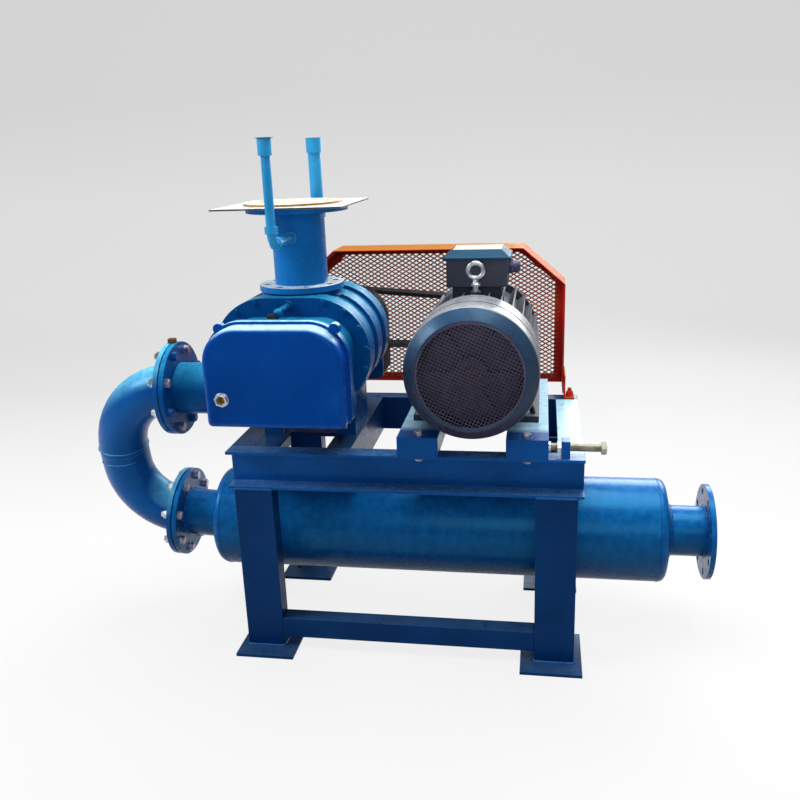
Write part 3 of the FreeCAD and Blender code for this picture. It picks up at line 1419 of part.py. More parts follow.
section = []
for step in range(13):
    turn = math.radians(30 * step + 15)
    section.append(Vector(size("eyebolt_ring") + size("eyebolt_bar") * math.cos(turn),
                          size("eyebolt_bar") * math.sin(turn), 0))
ring = Part.Face(Part.makePolygon(section)).revolve(Vector(), Vector(0, 1, 0), 360)
ring.translate(Vector(motor_x, size("eyebolt_y"), size("eyebolt_level")))
stem_top = size("eyebolt_level") - size("eyebolt_ring")
stem = Part.makeCylinder(7, stem_top - boss_level, Vector(motor_x, size("eyebolt_y"), boss_level))
collar = Part.makeCylinder(12, 6, Vector(motor_x, size("eyebolt_y"), boss_level))
node(shaped("eyebolt", ring.fuse([stem, collar])), "eyebolt")

# Tension bolt, its lug on the table and the locknut between them

bolt_axis = Placement(Vector(0, size("tension_y"), size("table_height") + size("tension_level")),
                      outlet_axis)
lug_left = size("lug_x")
lug = Part.makeBox(size("lug_length"), size("lug_width"), size("lug_height"),
                   Vector(lug_left, size("tension_y") - size("lug_width") / 2,
                          size("table_height")))
thread_gap = size("tension_radius") + size("running_clearance")
lug_hole = Part.makeCylinder(thread_gap, size("lug_length"))
lug_hole.Placement = bolt_axis.multiply(Placement(Vector(0, 0, lug_left), Rotation()))
locknut = hexagon(size("tension_head_width"), size("tension_head_height") - 1)
locknut = locknut.cut(Part.makeCylinder(thread_gap, size("tension_head_height")))
locknut.Placement = bolt_axis.multiply(
    Placement(Vector(0, 0, lug_left - size("tension_head_height") + 1), Rotation()))
node(shaped("tension_lug", lug.cut(lug_hole)), "tension_lug")
node(shaped("tension_locknut", locknut), "tension_locknut")

rail_side = motor_x + size("rail_spacing") / 2 + size("rail_width") / 2
bolt_start = rail_side - size("flange_wall") - 14
bolt_run = size("tension_head_x") - bolt_start
tension = Part.makeCylinder(size("tension_radius"), bolt_run, Vector(0, 0, bolt_start))
tension = tension.fuse([
    hexagon(size("tension_head_width"), size("tension_head_height"))
    .translated(Vector(0, 0, size("tension_head_x"))),
    Part.makeCylinder(15, 11, Vector(0, 0, rail_side - size("flange_wall") - 11.2)),
    Part.makeCylinder(14, 5, Vector(0, 0, rail_side + 0.2))])
node(shaped("tension_bolt", tension, bolt_axis), "tension_bolt")

# Belt guard: sheet tray open towards the machine and below, angle frame and mesh at its back

def guard_points(shrink):
    left = size("guard_left") + shrink
    right = size("guard_right") - shrink
    top = size("guard_top") - shrink
    side_drop = shrink * 0.4
    return [(left, size("guard_bottom")),
            (left, size("guard_top") - size("left_chamfer_height") - side_drop),
            (size("guard_left") + size("left_chamfer_width") + side_drop, top),
            (size("guard_right") - size("right_chamfer_width") - side_drop, top),
            (right, size("guard_top") - size("right_chamfer_height") - side_drop),
            (right, size("guard_bottom"))]


def guard_plate(shrink, y, depth_y, bottom_rise=0):
    corners = [Vector(x, y, z) for x, z in guard_points(shrink)]
    corners[0].z += bottom_rise
    corners[-1].z += bottom_rise
    return Part.Face(Part.makePolygon(corners + corners[:1])).extrude(Vector(0, depth_y, 0))


guard_y = size("guard_front")
guard_back = guard_y + size("guard_depth")
sheet_wall = size("guard_wall")
strip = size("guard_frame")
tray = guard_plate(0, guard_y, size("guard_depth") - sheet_wall)
tray = tray.cut(guard_plate(sheet_wall, guard_y, size("guard_depth") - sheet_wall, -1))
frame_ring = guard_plate(0, guard_back - sheet_wall, sheet_wall)
frame_ring = frame_ring.cut(guard_plate(strip, guard_back - sheet_wall, sheet_wall, strip))
node(shaped("guard_shell", tray.fuse(frame_ring)), "guard_shell")

mesh_y = guard_back - sheet_wall - size("mesh_wall")
mesh_sheet = guard_plate(sheet_wall + 1, mesh_y, size("mesh_wall"), 2)
diamonds = []
wide = size("mesh_pitch_x")
high = size("mesh_pitch_z")
half_x = (wide - size("mesh_strand")) / 2
half_z = (high - size("mesh_strand")) / 2
columns = int((size("guard_right") - size("guard_left") - 2 * strip) / wide) + 1
rows = int((size("guard_top") - size("guard_bottom") - 2 * strip) / high * 2) + 1
mesh_field = guard_plate(strip + 4, mesh_y - 1, size("mesh_wall") + 2, strip + 4)
for row in range(rows):
    for column in range(columns + 1):
        x = size("guard_left") + strip + (column + 0.5 * (row % 2)) * wide
        z = size("guard_bottom") + strip + (row + 1) * high / 2
        tips = [Vector(x - half_x, mesh_y, z), Vector(x, mesh_y, z - half_z),
                Vector(x + half_x, mesh_y, z), Vector(x, mesh_y, z + half_z)]
        if all(mesh_field.isInside(tip + Vector(0, 1, 0), 0.01, True) for tip in tips):
            diamonds.append(Part.Face(Part.makePolygon(tips + tips[:1]))
                            .extrude(Vector(0, size("mesh_wall"), 0)))
node(shaped("guard_mesh", mesh_sheet.cut(Part.makeCompound(diamonds))), "guard_mesh")

# Brackets that hold the guard on the table's rear corners

brackets = []
for wall_x, way in ((size("guard_right"), 1), (size("guard_left"), -1)):
    wall = size("bracket_wall")
    lap = size("table_depth") / 2 - size("bracket_lap")
    tab_low = wall_x if way > 0 else wall_x - wall
    foot_low = wall_x if way > 0 else wall_x - size("bracket_width")
    tab = Part.makeBox(wall, size("bracket_length"), size("bracket_height"),
                       Vector(tab_low, lap, size("table_height")))
    shelf = Part.makeBox(size("bracket_width"), size("bracket_lap"), wall,
                         Vector(foot_low, lap, size("table_height")))
    brackets.append(tab.fuse(shelf))
node(shaped("guard_brackets", Part.makeCompound(brackets)), "guard_brackets")

# Intake: flanged pipe on the blower, square cover plate and blanking disc on its top flange

pipe_base = boss_top + gasket
tall = size("intake_top") - pipe_base
small_thick = size("intake_pipe_flange")
intake = Part.makeCylinder(pipe, tall, middle + Vector(0, 0, pipe_base))
intake = intake.fuse([
    Part.makeCylinder(size("intake_flange_radius"), small_thick, middle + Vector(0, 0, pipe_base)),
    Part.makeCylinder(size("intake_top_flange_radius"), small_thick,
                      middle + Vector(0, 0, size("intake_top") - small_thick))])
intake = intake.cut(Part.makeCylinder(pipe_bore, tall, middle + Vector(0, 0, pipe_base)))
riser_specs = (("front", -1, "front_riser_radius"), ("rear", 1, "rear_riser_radius"))
for end, way, alias in riser_specs:
    shift = size("rear_riser_shift") if way > 0 else 0
    intake = intake.cut(Part.makeCylinder(size(alias) - size("riser_wall"), pipe + 5,
                                          middle + Vector(shift, 0, size("riser_level")),
                                          Vector(0, way, 0)))
node(shaped("intake_pipe", intake.cut(intake_holes)), "intake_pipe")

node(box("cover_plate", ("blower_x + plate_shift - plate_side / 2", "blower_y - plate_side / 2", "intake_top"),
         ("plate_side", "plate_side", "plate_thickness")), "cover_plate")
node(rod("blank_disc", "disc_radius", "disc_thickness",
         ("blower_x + plate_shift", "blower_y", "intake_top + plate_thickness")), "blank_disc")

# Risers: pipe, elbow and nipple each, with a socket coupling on top

def elbow_ring(tube_radius, x, y, z, way, bend):
    """The quarter turn from a nipple that leaves sideways to a pipe that rises."""
    rings = []
    count = int(90 / size("elbow_step"))
    for step in range(count + 1):
        turn = math.radians(90.0 * step / count)
        middle_line = Vector(x, y + way * bend * math.sin(turn), z - bend * math.cos(turn))
        rings.append(Part.Wire(Part.makeCircle(tube_radius, middle_line,
                                               Vector(0, way * math.cos(turn), math.sin(turn)))))
    return Part.makeLoft(rings, True, True)


def riser_solid(tube_radius, way, tube_end, x):
    start = size("blower_y") + way * (math.sqrt(pipe ** 2 - tube_radius ** 2))
    turn_y = size("blower_y") + way * size("riser_reach")
    z = size("riser_level")
    bend = 1.6 * size("rear_riser_radius")
    low = Vector(x, turn_y - way * bend, z)
    high = Vector(x, turn_y, z + bend)
    inner_start = Vector(x, start - way * 4, z)
    nipple = Part.makeCylinder(tube_radius, (low - inner_start).Length, inner_start, low - inner_start)
    riser = Part.makeCylinder(tube_radius, tube_end - high.z, high)
    quarter = elbow_ring(tube_radius, x, turn_y - way * bend, z + bend, way, bend)
    return nipple.fuse([riser, quarter]), low


risers = []
couplings = []
outer_wall = Part.makeCylinder(pipe, 100, middle + Vector(0, 0, size("riser_level") - 50))
for end, way, alias in riser_specs:
    outer = size(alias)
    x = axis_x + (size("rear_riser_shift") if way > 0 else 0)
    sleeve_low = Vector(x, size("blower_y") + way * size("riser_reach"),
                        size("riser_top") - size("coupling_length"))
    seat = size("coupling_length") / 2
    tube_top = size("riser_top") - seat - 2
    whole, corner_at = riser_solid(outer, way, tube_top, x)
    hollow, _ = riser_solid(outer - size("riser_wall"), way, tube_top + 1, x)
    bead_y = size("blower_y") + way * (pipe - 1)
    bead = Part.makeCylinder(outer + 4, 5, Vector(x, bead_y, size("riser_level")),
                             Vector(0, way, 0))
    socket = Part.makeCylinder(outer + 4, 16, corner_at - Vector(0, way * 12, 0),
                               Vector(0, way, 0))
    turn_y = size("blower_y") + way * size("riser_reach")
    elbow_top = Part.makeCylinder(outer + 4, 16, Vector(x, turn_y, size("riser_level")
                                                        + 1.6 * size("rear_riser_radius") - 2))
    risers.append(whole.fuse([bead, socket, elbow_top]).cut(hollow).cut(outer_wall))
    sleeve = Part.makeCylinder(size(end + "_coupling_radius"), size("coupling_length"), sleeve_low)
    sleeve = sleeve.cut(Part.makeCylinder(outer, seat, sleeve_low))
    threaded = Part.makeCylinder(outer - size("coupling_thread_depth"), size("coupling_length"),
                                 sleeve_low)
    couplings.append(sleeve.cut(threaded))
node(shaped("risers", Part.makeCompound(risers)), "risers")
node(shaped("riser_couplings", Part.makeCompound(couplings)), "riser_couplings")

# Check every object, then write one STEP file per sub-part

doc.recompute()
for item in doc.Objects:
    if "Invalid" in item.State or "Error" in item.State:
        raise SystemExit("failed object: " + item.Label)
os.makedirs("parts", exist_ok=True)
for piece in nodes:
    if piece.Shape.isNull() or not piece.Shape.isValid():
        raise SystemExit("bad shape: " + piece.Label)
    piece.Shape.exportStep("parts/%s.step" % piece.Label)
print(len(nodes), "sub-parts written")
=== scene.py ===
import math

import bmesh
import bpy
from mathutils import Matrix, Vector


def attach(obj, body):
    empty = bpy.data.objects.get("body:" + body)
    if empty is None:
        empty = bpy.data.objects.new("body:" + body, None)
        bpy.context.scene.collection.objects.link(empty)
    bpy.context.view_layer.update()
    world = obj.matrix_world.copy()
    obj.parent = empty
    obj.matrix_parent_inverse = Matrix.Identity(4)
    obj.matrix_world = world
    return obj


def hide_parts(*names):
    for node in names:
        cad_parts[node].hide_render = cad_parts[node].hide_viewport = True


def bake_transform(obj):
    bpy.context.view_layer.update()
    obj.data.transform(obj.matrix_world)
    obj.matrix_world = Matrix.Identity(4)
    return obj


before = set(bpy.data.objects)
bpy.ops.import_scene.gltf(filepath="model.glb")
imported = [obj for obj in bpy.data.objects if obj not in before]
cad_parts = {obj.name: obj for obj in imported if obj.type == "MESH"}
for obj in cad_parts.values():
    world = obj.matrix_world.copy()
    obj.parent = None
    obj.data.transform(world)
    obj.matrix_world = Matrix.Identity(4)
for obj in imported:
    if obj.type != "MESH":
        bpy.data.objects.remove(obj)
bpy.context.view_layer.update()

# The camera stands in front of the motor and a little above the machine, as the photographer did,
# looks down at it and leans slightly. Its lens is set for a square picture.
camera_spot = Vector((0.33775, -2.1566, 1.2854))
turned_left = math.radians(9.80)
looking_down = math.radians(16.93)
leaning = math.radians(-2.12)
sensor_width = 36
picture_width = 800
focal_pixels = 840.9
level_ahead = Vector((-math.sin(turned_left), math.cos(turned_left), 0))
level_right = Vector((math.cos(turned_left), math.sin(turned_left), 0))
view_line = level_ahead * math.cos(looking_down) - Vector((0, 0, math.sin(looking_down)))
view_up = Vector((0, 0, math.cos(looking_down))) + level_ahead * math.sin(looking_down)
camera_right = level_right * math.cos(leaning) + view_up * math.sin(leaning)
camera_up = view_up * math.cos(leaning) - level_right * math.sin(leaning)
camera = bpy.data.objects.new("camera", bpy.data.cameras.new("camera"))
bpy.context.collection.objects.link(camera)
camera.matrix_world = Matrix.Translation(camera_spot) @ Matrix(
    (camera_right, camera_up, -view_line)).transposed().to_4x4()
camera.data.sensor_width = sensor_width
camera.data.lens = sensor_width * focal_pixels / picture_width
camera.data.shift_x = -0.0019
camera.data.shift_y = 0.0003
camera.data.clip_end = 60
bpy.context.scene.camera = camera
bpy.context.scene.view_settings.view_transform = "Standard"

# A pale floor that sweeps up into a plain wall far behind the machine. The camera sees it a
# little brighter than the machine does, and it keeps the machine's shadow.


def wire(tree, node, inputs):
    """Gives a node its inputs: a socket is linked, any other value is set."""
    for key, value in inputs.items():
        if isinstance(value, bpy.types.NodeSocket):
            tree.links.new(value, node.inputs[key])
        else:
            node.inputs[key].default_value = value
    return node


def wired(tree, kind, inputs, **options):
    """Adds a node of a kind with its options and its inputs, and returns its outputs."""
    node = tree.nodes.new(kind)
    for option, value in options.items():
        setattr(node, option, value)
    return wire(tree, node, inputs).outputs


def reckon(tree, operation, *terms):
    """One sum in a node tree; each term is a socket or a number."""
    return wired(tree, "ShaderNodeMath", dict(enumerate(terms)), operation=operation)["Value"]


def axis_parts(tree, vector):
    """The X, Y and Z of a vector."""
    return wired(tree, "ShaderNodeSeparateXYZ", {"Vector": vector})


def ranged(tree, value, low, high, to_low=0.0, to_high=1.0):
    """A value carried over from one range to another."""
    return wired(tree, "ShaderNodeMapRange", {"Value": value, "From Min": low, "From Max": high,
                                              "To Min": to_low, "To Max": to_high})["Result"]


def ramp(tree, factor, stops):
    """A colour ramp over a factor; each stop is (position, colour)."""
    node = tree.nodes.new("ShaderNodeValToRGB")
    while len(node.color_ramp.elements) < len(stops):
        node.color_ramp.elements.new(0.5)
    for element, (position, colour) in zip(node.color_ramp.elements, stops):
        element.position = position
        element.color = (*colour, 1)
    return wire(tree, node, {"Fac": factor}).outputs["Color"]


def mixed(tree, factor, first, second):
    """Two colours mixed by a factor."""
    return wired(tree, "ShaderNodeMix", {"Factor": factor, "A": first, "B": second},
                 data_type="RGBA")["Result"]


def new_material(name):
    """A material, its node tree, its shader and the object's own coordinates."""
    made = bpy.data.materials.new(name)
    made.use_nodes = True
    tree = made.node_tree
    return made, tree, tree.nodes["Principled BSDF"], wired(tree, "ShaderNodeTexCoord", {})["Object"]


def smoothed(shape, bend=180):
    """Shades a shape smooth, apart from the edges that are sharper than the bend."""
    for face in shape.faces:
        face.smooth = True
    for edge in shape.edges:
        if len(edge.link_faces) == 2 and edge.calc_face_angle(0) > math.radians(bend):
            edge.smooth = False


def object_of(shape, name, finish):
    """An object with one material, made from a shape."""
    data = bpy.data.meshes.new(name)
    shape.to_mesh(data)
    shape.free()
    data.materials.append(finish)
    made = bpy.data.objects.new(name, data)
    bpy.context.collection.objects.link(made)
    return made


studio_floor, floor, floor_shader, floor_spot = new_material("studio floor")
seen_by = wired(floor, "ShaderNodeLightPath", {})
spot_parts = axis_parts(floor, floor_spot)
distance_back = reckon(floor, "ADD", spot_parts["Y"], spot_parts["Z"])
fade_stops = ((0.0, 0.80), (0.23, 0.81), (0.28, 0.77), (0.405, 0.67), (0.52, 0.66), (0.62, 0.68),
              (0.80, 0.68), (0.94, 0.62))
fading = ramp(floor, ranged(floor, distance_back, -2.0, 8.0),
              [(stop, (level, level, level)) for stop, level in fade_stops])
glossy_share = 0.22
shown_to = reckon(floor, "MULTIPLY_ADD", seen_by["Is Glossy Ray"], glossy_share,
                  seen_by["Is Camera Ray"])
wire(floor, floor_shader, {
    "Base Color": mixed(floor, seen_by["Is Camera Ray"], (0.46, 0.46, 0.465, 1),
                        (0.08, 0.08, 0.081, 1)),
    "Roughness": 0.8,
    "Emission Color": (1, 1, 1, 1),
    "Emission Strength": reckon(floor, "MULTIPLY", shown_to, fading)})
sweep_start = 3.2
sweep_radius = 2.6
sweep_steps = 24
sweep_section = [(-6.0, 0.0), (sweep_start, 0.0)]
for step in range(1, sweep_steps + 1):
    bend = math.pi / 2 * step / sweep_steps
    sweep_section.append((sweep_start + sweep_radius * math.sin(bend),
                          sweep_radius - sweep_radius * math.cos(bend)))
sweep_section.append((sweep_start + sweep_radius, 9.0))
sweep = bmesh.new()
sweep_rows = [[sweep.verts.new((x, y, z)) for x in (-14, 14)] for y, z in sweep_section]
for near, far in zip(sweep_rows, sweep_rows[1:]):
    sweep.faces.new((near[0], near[1], far[1], far[0]))
smoothed(sweep)
object_of(sweep, "studio_sweep", studio_floor)


def softbox(name, spot, aim, width, depth, power, tint):
    """A rectangular area lamp aimed at a point of the machine."""
    lamp = bpy.data.lights.new(name, "AREA")
    lamp.shape = "RECTANGLE"
    lamp.size = width
    lamp.size_y = depth
    lamp.energy = power
    lamp.color = tint
    stand = bpy.data.objects.new(name, lamp)
    bpy.context.collection.objects.link(stand)
    stand.location = spot
    stand.rotation_euler = (Vector(aim) - Vector(spot)).to_track_quat("-Z", "Y").to_euler()
    stand.visible_camera = False


softbox("overhead", (0.3, 0.3, 3.4), (0.0, 0.0, 0.6), 3.0, 2.0, 140, (1.0, 0.99, 0.97))
softbox("high_behind", (1.3, 3.0, 2.0), (0.2, 0.0, 0.7), 2.6, 1.7, 90, (0.97, 0.99, 1.0))
softbox("front_fill", (0.6, -4.4, 2.3), (0.0, 0.0, 0.8), 2.4, 1.8, 34, (0.95, 0.97, 1.0))
softbox("left_high", (-3.2, -1.2, 2.9), (-0.2, 0.0, 0.7), 1.5, 1.5, 110, (0.98, 0.99, 1.0))
world = bpy.data.worlds.new("studio")
bpy.context.scene.world = world
world.use_nodes = True
wire(world.node_tree, world.node_tree.nodes["Background"],
     {"Color": (0.93, 0.95, 1.0, 1), "Strength": 0.27})

# Table of rolled channel and angle, welded up and painted blue: two long beams with their flanges
# outwards, two end angles, four legs on foot plates and a front tie. The legs and the rear, end and
# lower members are in a darker blue as painted shade.


def noise(tree, place, **settings):
    """Soft noise over the object's own coordinates."""
    return wired(tree, "ShaderNodeTexNoise", {"Vector": place, **settings})["Fac"]


def bumped(tree, height, strength, distance, **under):
    """A bump, over an earlier one where its Normal is given."""
    return wired(tree, "ShaderNodeBump", {"Strength": strength, "Distance": distance,
                                          "Height": height, **under})["Normal"]


def enamel(name, shade, bright, rough, peel, top_light=0.10, gloss=0.45, cast=(0.16, 0.62, 1.0),
           lit=(0.30, 0.62, 0.78), lies=0.35, behind=None):
    """Glossy paint: two drifting tones and a fine orange peel, blended in blotches towards the lit colour
    the more a face points up: painted light on top. Where the base tones are darker, they stay on what
    faces down as painted shade.
    """
    paint, tree, shader, place = new_material(name)
    drift = noise(tree, place, Scale=5.5, Detail=7, Roughness=0.62)
    grime = noise(tree, place, Scale=38, Detail=8, Roughness=0.7)
    skin = noise(tree, place, Scale=240, Detail=3)
    facing = wired(tree, "ShaderNodeNewGeometry", {})["Normal"]
    # Painted light: faces that point up take on the lit colour, and with behind given only the far part of
    # the piece does.
    upward = ranged(tree, axis_parts(tree, facing)["Z"], lies, 1.0, 0.0, top_light * 2)
    top_light_share = reckon(tree, "MULTIPLY", upward, grime)
    if behind is not None:
        far = ranged(tree, axis_parts(tree, place)["Y"], behind, behind + 0.03)
        top_light_share = reckon(tree, "MULTIPLY", top_light_share, far)
    tones = ramp(tree, drift, ((0.34, shade), (0.70, bright)))
    sag = bumped(tree, grime, 0.35, peel * 4)
    wire(tree, shader, {
        "Base Color": mixed(tree, top_light_share, tones, (*lit, 1)),
        "Roughness": ranged(tree, grime, 0.3, 0.75, rough * 0.8, rough * 1.5),
        "Normal": bumped(tree, skin, 0.3, peel, Normal=sag),
        "IOR": 1.36,
        "Specular IOR Level": gloss,
        "Specular Tint": (*cast, 1),
        "Coat Weight": 0.02,
        "Coat Roughness": 0.10})
    return paint


def carried(piece, body, stands_for=None, stretch=None):
    """Lets a piece ride a body, or, where a stretch is given, bakes its placement into its mesh; hides the
    made piece it stands for.
    """
    if stretch:
        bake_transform(piece)
    else:
        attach(piece, body)
    if stands_for:
        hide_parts(stands_for)


def eased(node, width, finish, body="blower_table", bend=32, stretch=None):
    """A copy of a made piece with its doubles merged and its edges eased, which stands for it."""
    metal = bmesh.new()
    metal.from_mesh(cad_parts[node].data)
    bmesh.ops.remove_doubles(metal, verts=metal.verts, dist=1e-5)
    bmesh.ops.dissolve_limit(metal, angle_limit=math.radians(0.6), verts=metal.verts,
                             edges=metal.edges)
    smoothed(metal, bend)
    piece = object_of(metal, node + "_finished", finish)
    if width > 0:
        rounding = piece.modifiers.new("eased edges", "BEVEL")
        rounding.width = width
        rounding.segments = 2
        rounding.limit_method = "ANGLE"
        rounding.angle_limit = math.radians(bend)
        rounding.harden_normals = True
        rounding.use_clamp_overlap = True
    carried(piece, body, node, stretch)


table_tones = ((0.0020, 0.050, 0.215), (0.0042, 0.080, 0.335))
shaded_tones = ((0.0008, 0.018, 0.088), (0.0018, 0.030, 0.140))
blue_cast = (0.16, 0.62, 1.0)
painted_top_tone = (0.36, 0.62, 0.76)
steel_blue = enamel("blue enamel on steel", *table_tones, 0.24, 0.0004, 0.12)
# Near-white painted light on the tops of the right beam and, behind the motor's feet, of the rails.
top_lit_blue = enamel("blue enamel with painted light on top", *table_tones, 0.30, 0.0004, 1.0, 0.35,
                       blue_cast, painted_top_tone, lies=0.8, behind=-0.262)
rail_blue = enamel("blue enamel of the rails", *table_tones, 0.30, 0.0004, 0.90, 0.35,
                   blue_cast, painted_top_tone, lies=0.8, behind=-0.218)
# A darker blue as painted shade, on the legs and on the rear, end and lower members.
shaded_blue = enamel("blue enamel darkened as painted shade", *shaded_tones, 0.30, 0.0004, 0.06, 0.35)
for member, edge_width, paint in (
        ("beam_front", 0.0016, steel_blue), ("beam_rear", 0.0016, shaded_blue),
        ("beam_left", 0.001, shaded_blue), ("beam_right", 0.001, top_lit_blue),
        ("blower_rails", 0.001, shaded_blue), ("legs_front", 0.0016, shaded_blue),
        ("legs_rear", 0.0016, shaded_blue), ("foot_plates", 0.0008, shaded_blue),
        ("cross_tie", 0.003, shaded_blue), ("silencer_hangers", 0.001, shaded_blue),
        ("tension_lug", 0.001, steel_blue)):
    eased(member, edge_width, paint)

# Silencer slung under the table: a rolled shell with two dished heads, a flanged stub at each
# end and the perforated core inside, all of it welded and painted blue: navy towards the bottom
# as painted shade, brighter blue on top as painted light.
silencer_blue = enamel("blue enamel of the silencer", (0.0008, 0.013, 0.060), (0.0020, 0.022, 0.095),
                       0.24, 0.0004, 1.0, 0.60, (0.10, 0.70, 1.0), (0.0040, 0.128, 0.410), -0.90)
eased("silencer_shell", 0.0006, silencer_blue)
eased("silencer_heads", 0.0006, silencer_blue, bend=40)
eased("silencer_inlet", 0.0010, silencer_blue)
eased("silencer_outlet", 0.0010, silencer_blue)


def bare_metal(name, tone, dull, rough, scratch, metallic=0.9):
    """Metal with soft blotches and fine random scratches in its gloss."""
    metal, tree, shader, place = new_material(name)
    blotch = noise(tree, place, Scale=60, Detail=6)
    lines = noise(tree, place, Scale=700, Detail=2)
    wire(tree, shader, {
        "Metallic": metallic,
        "Base Color": ramp(tree, blotch, ((0.36, dull), (0.6, tone))),
        "Roughness": ranged(tree, blotch, 0.3, 0.7, rough * 0.75, rough * 1.3),
        "Normal": bumped(tree, lines, scratch, 0.0002)})
    return metal


def kept(finish, *nodes):
    """Gives made pieces that keep their own form a finish of their own."""
    for node in nodes:
        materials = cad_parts[node].data.materials
        materials.clear()
        materials.append(finish)


mill_steel = bare_metal("mill steel", (0.62, 0.63, 0.64), (0.40, 0.40, 0.41), 0.38, 0.3)
kept(mill_steel, "silencer_core")

# Weld beads: rippled fillets laid by hand round the joints of the bend and the silencer and at
# both ends of the table's legs, painted over with the rest.


def spoke(side, other, turn):
    """A unit vector at an angle between two axes."""
    return math.cos(turn) * side + math.sin(turn) * other


def weld(name, runs, paint=steel_blue):
    """Rippled round beads, half sunk in their seams; each run is (points, radius, closed)."""
    shape = bmesh.new()
    for points, radius, closed in runs:
        count = len(points)
        loops = []
        for number, point in enumerate(points):
            if closed:
                before, after = points[number - 1], points[(number + 1) % count]
            else:
                before, after = points[max(number - 1, 0)], points[min(number + 1, count - 1)]
            along = (after - before).normalized()
            side = along.cross(Vector((0.31, 0.52, 0.79))).normalized()
            other = along.cross(side)
            ripple = radius * (1 + 0.16 * math.sin(number * 2.1) + 0.08 * math.sin(number * 0.7))
            loops.append([shape.verts.new(point + ripple * spoke(side, other, k * math.pi / 3))
                          for k in range(6)])
        for here, there in zip(loops, loops[1:] + (loops[:1] if closed else [])):
            shift = min(range(6), key=lambda k: (here[0].co - there[k].co).length)
            for k in range(6):
                shape.faces.new((here[k], here[(k + 1) % 6], there[(k + 1 + shift) % 6],
                                 there[(k + shift) % 6]))
        if not closed:
            shape.faces.new(loops[0][::-1])
            shape.faces.new(loops[-1])
    bmesh.ops.recalc_face_normals(shape, faces=shape.faces)
    smoothed(shape)
    carried(object_of(shape, name, paint), "blower_table")


def ring_points(centre, axis, reach, spacing=0.0042):
    """Evenly spaced points on a circle about an axis."""
    axis = axis.normalized()
    side = axis.orthogonal().normalized()
    other = axis.cross(side)
    count = int(2 * math.pi * reach / spacing)
    return [centre + reach * spoke(side, other, 2 * math.pi * k / count) for k in range(count)]


def line_points(start, end, spacing=0.0045):
    """Evenly spaced points on a straight line."""
    start, end = Vector(start), Vector(end)
    count = max(int((end - start).length / spacing), 2)
    return [start.lerp(end, k / count) for k in range(count + 1)]


silencer_middle = Vector((0.0, -0.028, 0.2755))
outlet_y = -0.098
outlet_high = 0.677
along_x = Vector((1, 0, 0))
bend_back = 0.070
bend_high = 0.4015
bend_lean = math.atan2(bend_back, bend_high)
bend_rise = math.hypot(bend_back, bend_high)
elbow_radius = 0.194
elbow_pipe = 0.0665
leftmost = -0.8943
inlet_start = -0.564
inlet_tilt = math.radians(4)


def in_bend(x, y, z):
    """A point given in the leaning plane of the U-bend, from the silencer's middle line."""
    return silencer_middle + Matrix.Rotation(bend_lean, 3, "X") @ Vector((x, y, z))


def on_inlet(distance):
    """A point on the middle line of the silencer's inlet."""
    return in_bend(inlet_start - distance * math.cos(inlet_tilt), 0, distance * math.sin(inlet_tilt))


def silencer_ring(distance, reach, bead_size):
    """A closed run round the silencer."""
    return (ring_points(silencer_middle + Vector((distance, 0, 0)), along_x, reach), bead_size, True)


inlet_way = (on_inlet(0.1) - on_inlet(0)).normalized()
upper_elbow = Vector((-0.634, 0, bend_rise - elbow_radius))
# The bend's blue turns cyan on what faces up: a painted highlight.
bend_blue = enamel("blue enamel of the bend", (0.0020, 0.050, 0.205), (0.0044, 0.084, 0.320), 0.23,
                   0.0005, 0.85, 0.5, (0.14, 0.66, 1.0), (0.13, 0.52, 0.74), 0.25)
seams = []
for angle, drop, bead_size in ((176.3, 0.0, 0.0030), (180, 0.021, 0.0022)):
    swing = math.radians(angle)
    on_line = upper_elbow + elbow_radius * Vector((math.cos(swing), 0, math.sin(swing)))
    on_line.z -= drop
    way = Vector((-math.sin(swing), 0, math.cos(swing)))
    middle = in_bend(*on_line)
    round_pipe = ring_points(middle, in_bend(*(on_line + way)) - middle, elbow_pipe)
    if drop:
        round_pipe = [spot for spot in round_pipe if spot.y < middle.y - 0.040]
    for spot in round_pipe:
        spot.x = max(spot.x, leftmost + bead_size * 1.3)
    seams.append((round_pipe, bead_size, not drop))
weld("bend_welds", seams + [
    (ring_points(on_inlet(0.1135 + 0.013), inlet_way, 0.068), 0.0036, True),
    (ring_points(Vector((-0.6455, outlet_y, outlet_high)), along_x, 0.068), 0.0036, True)],
     paint=bend_blue)
weld("silencer_welds", [
    silencer_ring(-0.530, 0.1360, 0.0016), silencer_ring(0.645, 0.1360, 0.0016),
    silencer_ring(0.679, 0.0668, 0.0042), silencer_ring(0.767, 0.0668, 0.0036),
    (ring_points(on_inlet(0.002), inlet_way, 0.0675), 0.0042, True),
    (ring_points(on_inlet(0.097), inlet_way, 0.0668), 0.0036, True)])
leg_half_width = 0.050
leg_flange = 0.048
corner_runs = []
for leg_x in (-0.380, 0.380):
    left, right = leg_x - leg_half_width, leg_x + leg_half_width
    for face_y, inward in ((-0.270, leg_flange), (0.270, -leg_flange)):
        for level, bead_size in ((0.460, 0.0030), (0.008, 0.0034)):
            for start, end in (((left, face_y), (right, face_y)),
                               ((left, face_y), (left, face_y + inward)),
                               ((right, face_y), (right, face_y + inward))):
                corner_runs.append((line_points((*start, level), (*end, level)), bead_size, False))
weld("table_welds", corner_runs)

# U-bend from two welded elbows with a flat flange at each end, and the rubber gaskets between
# the flanges, which show as a dark line.
eased("bend_lower", 0.0010, bend_blue, bend=24)
eased("bend_upper", 0.0010, bend_blue, bend=24)


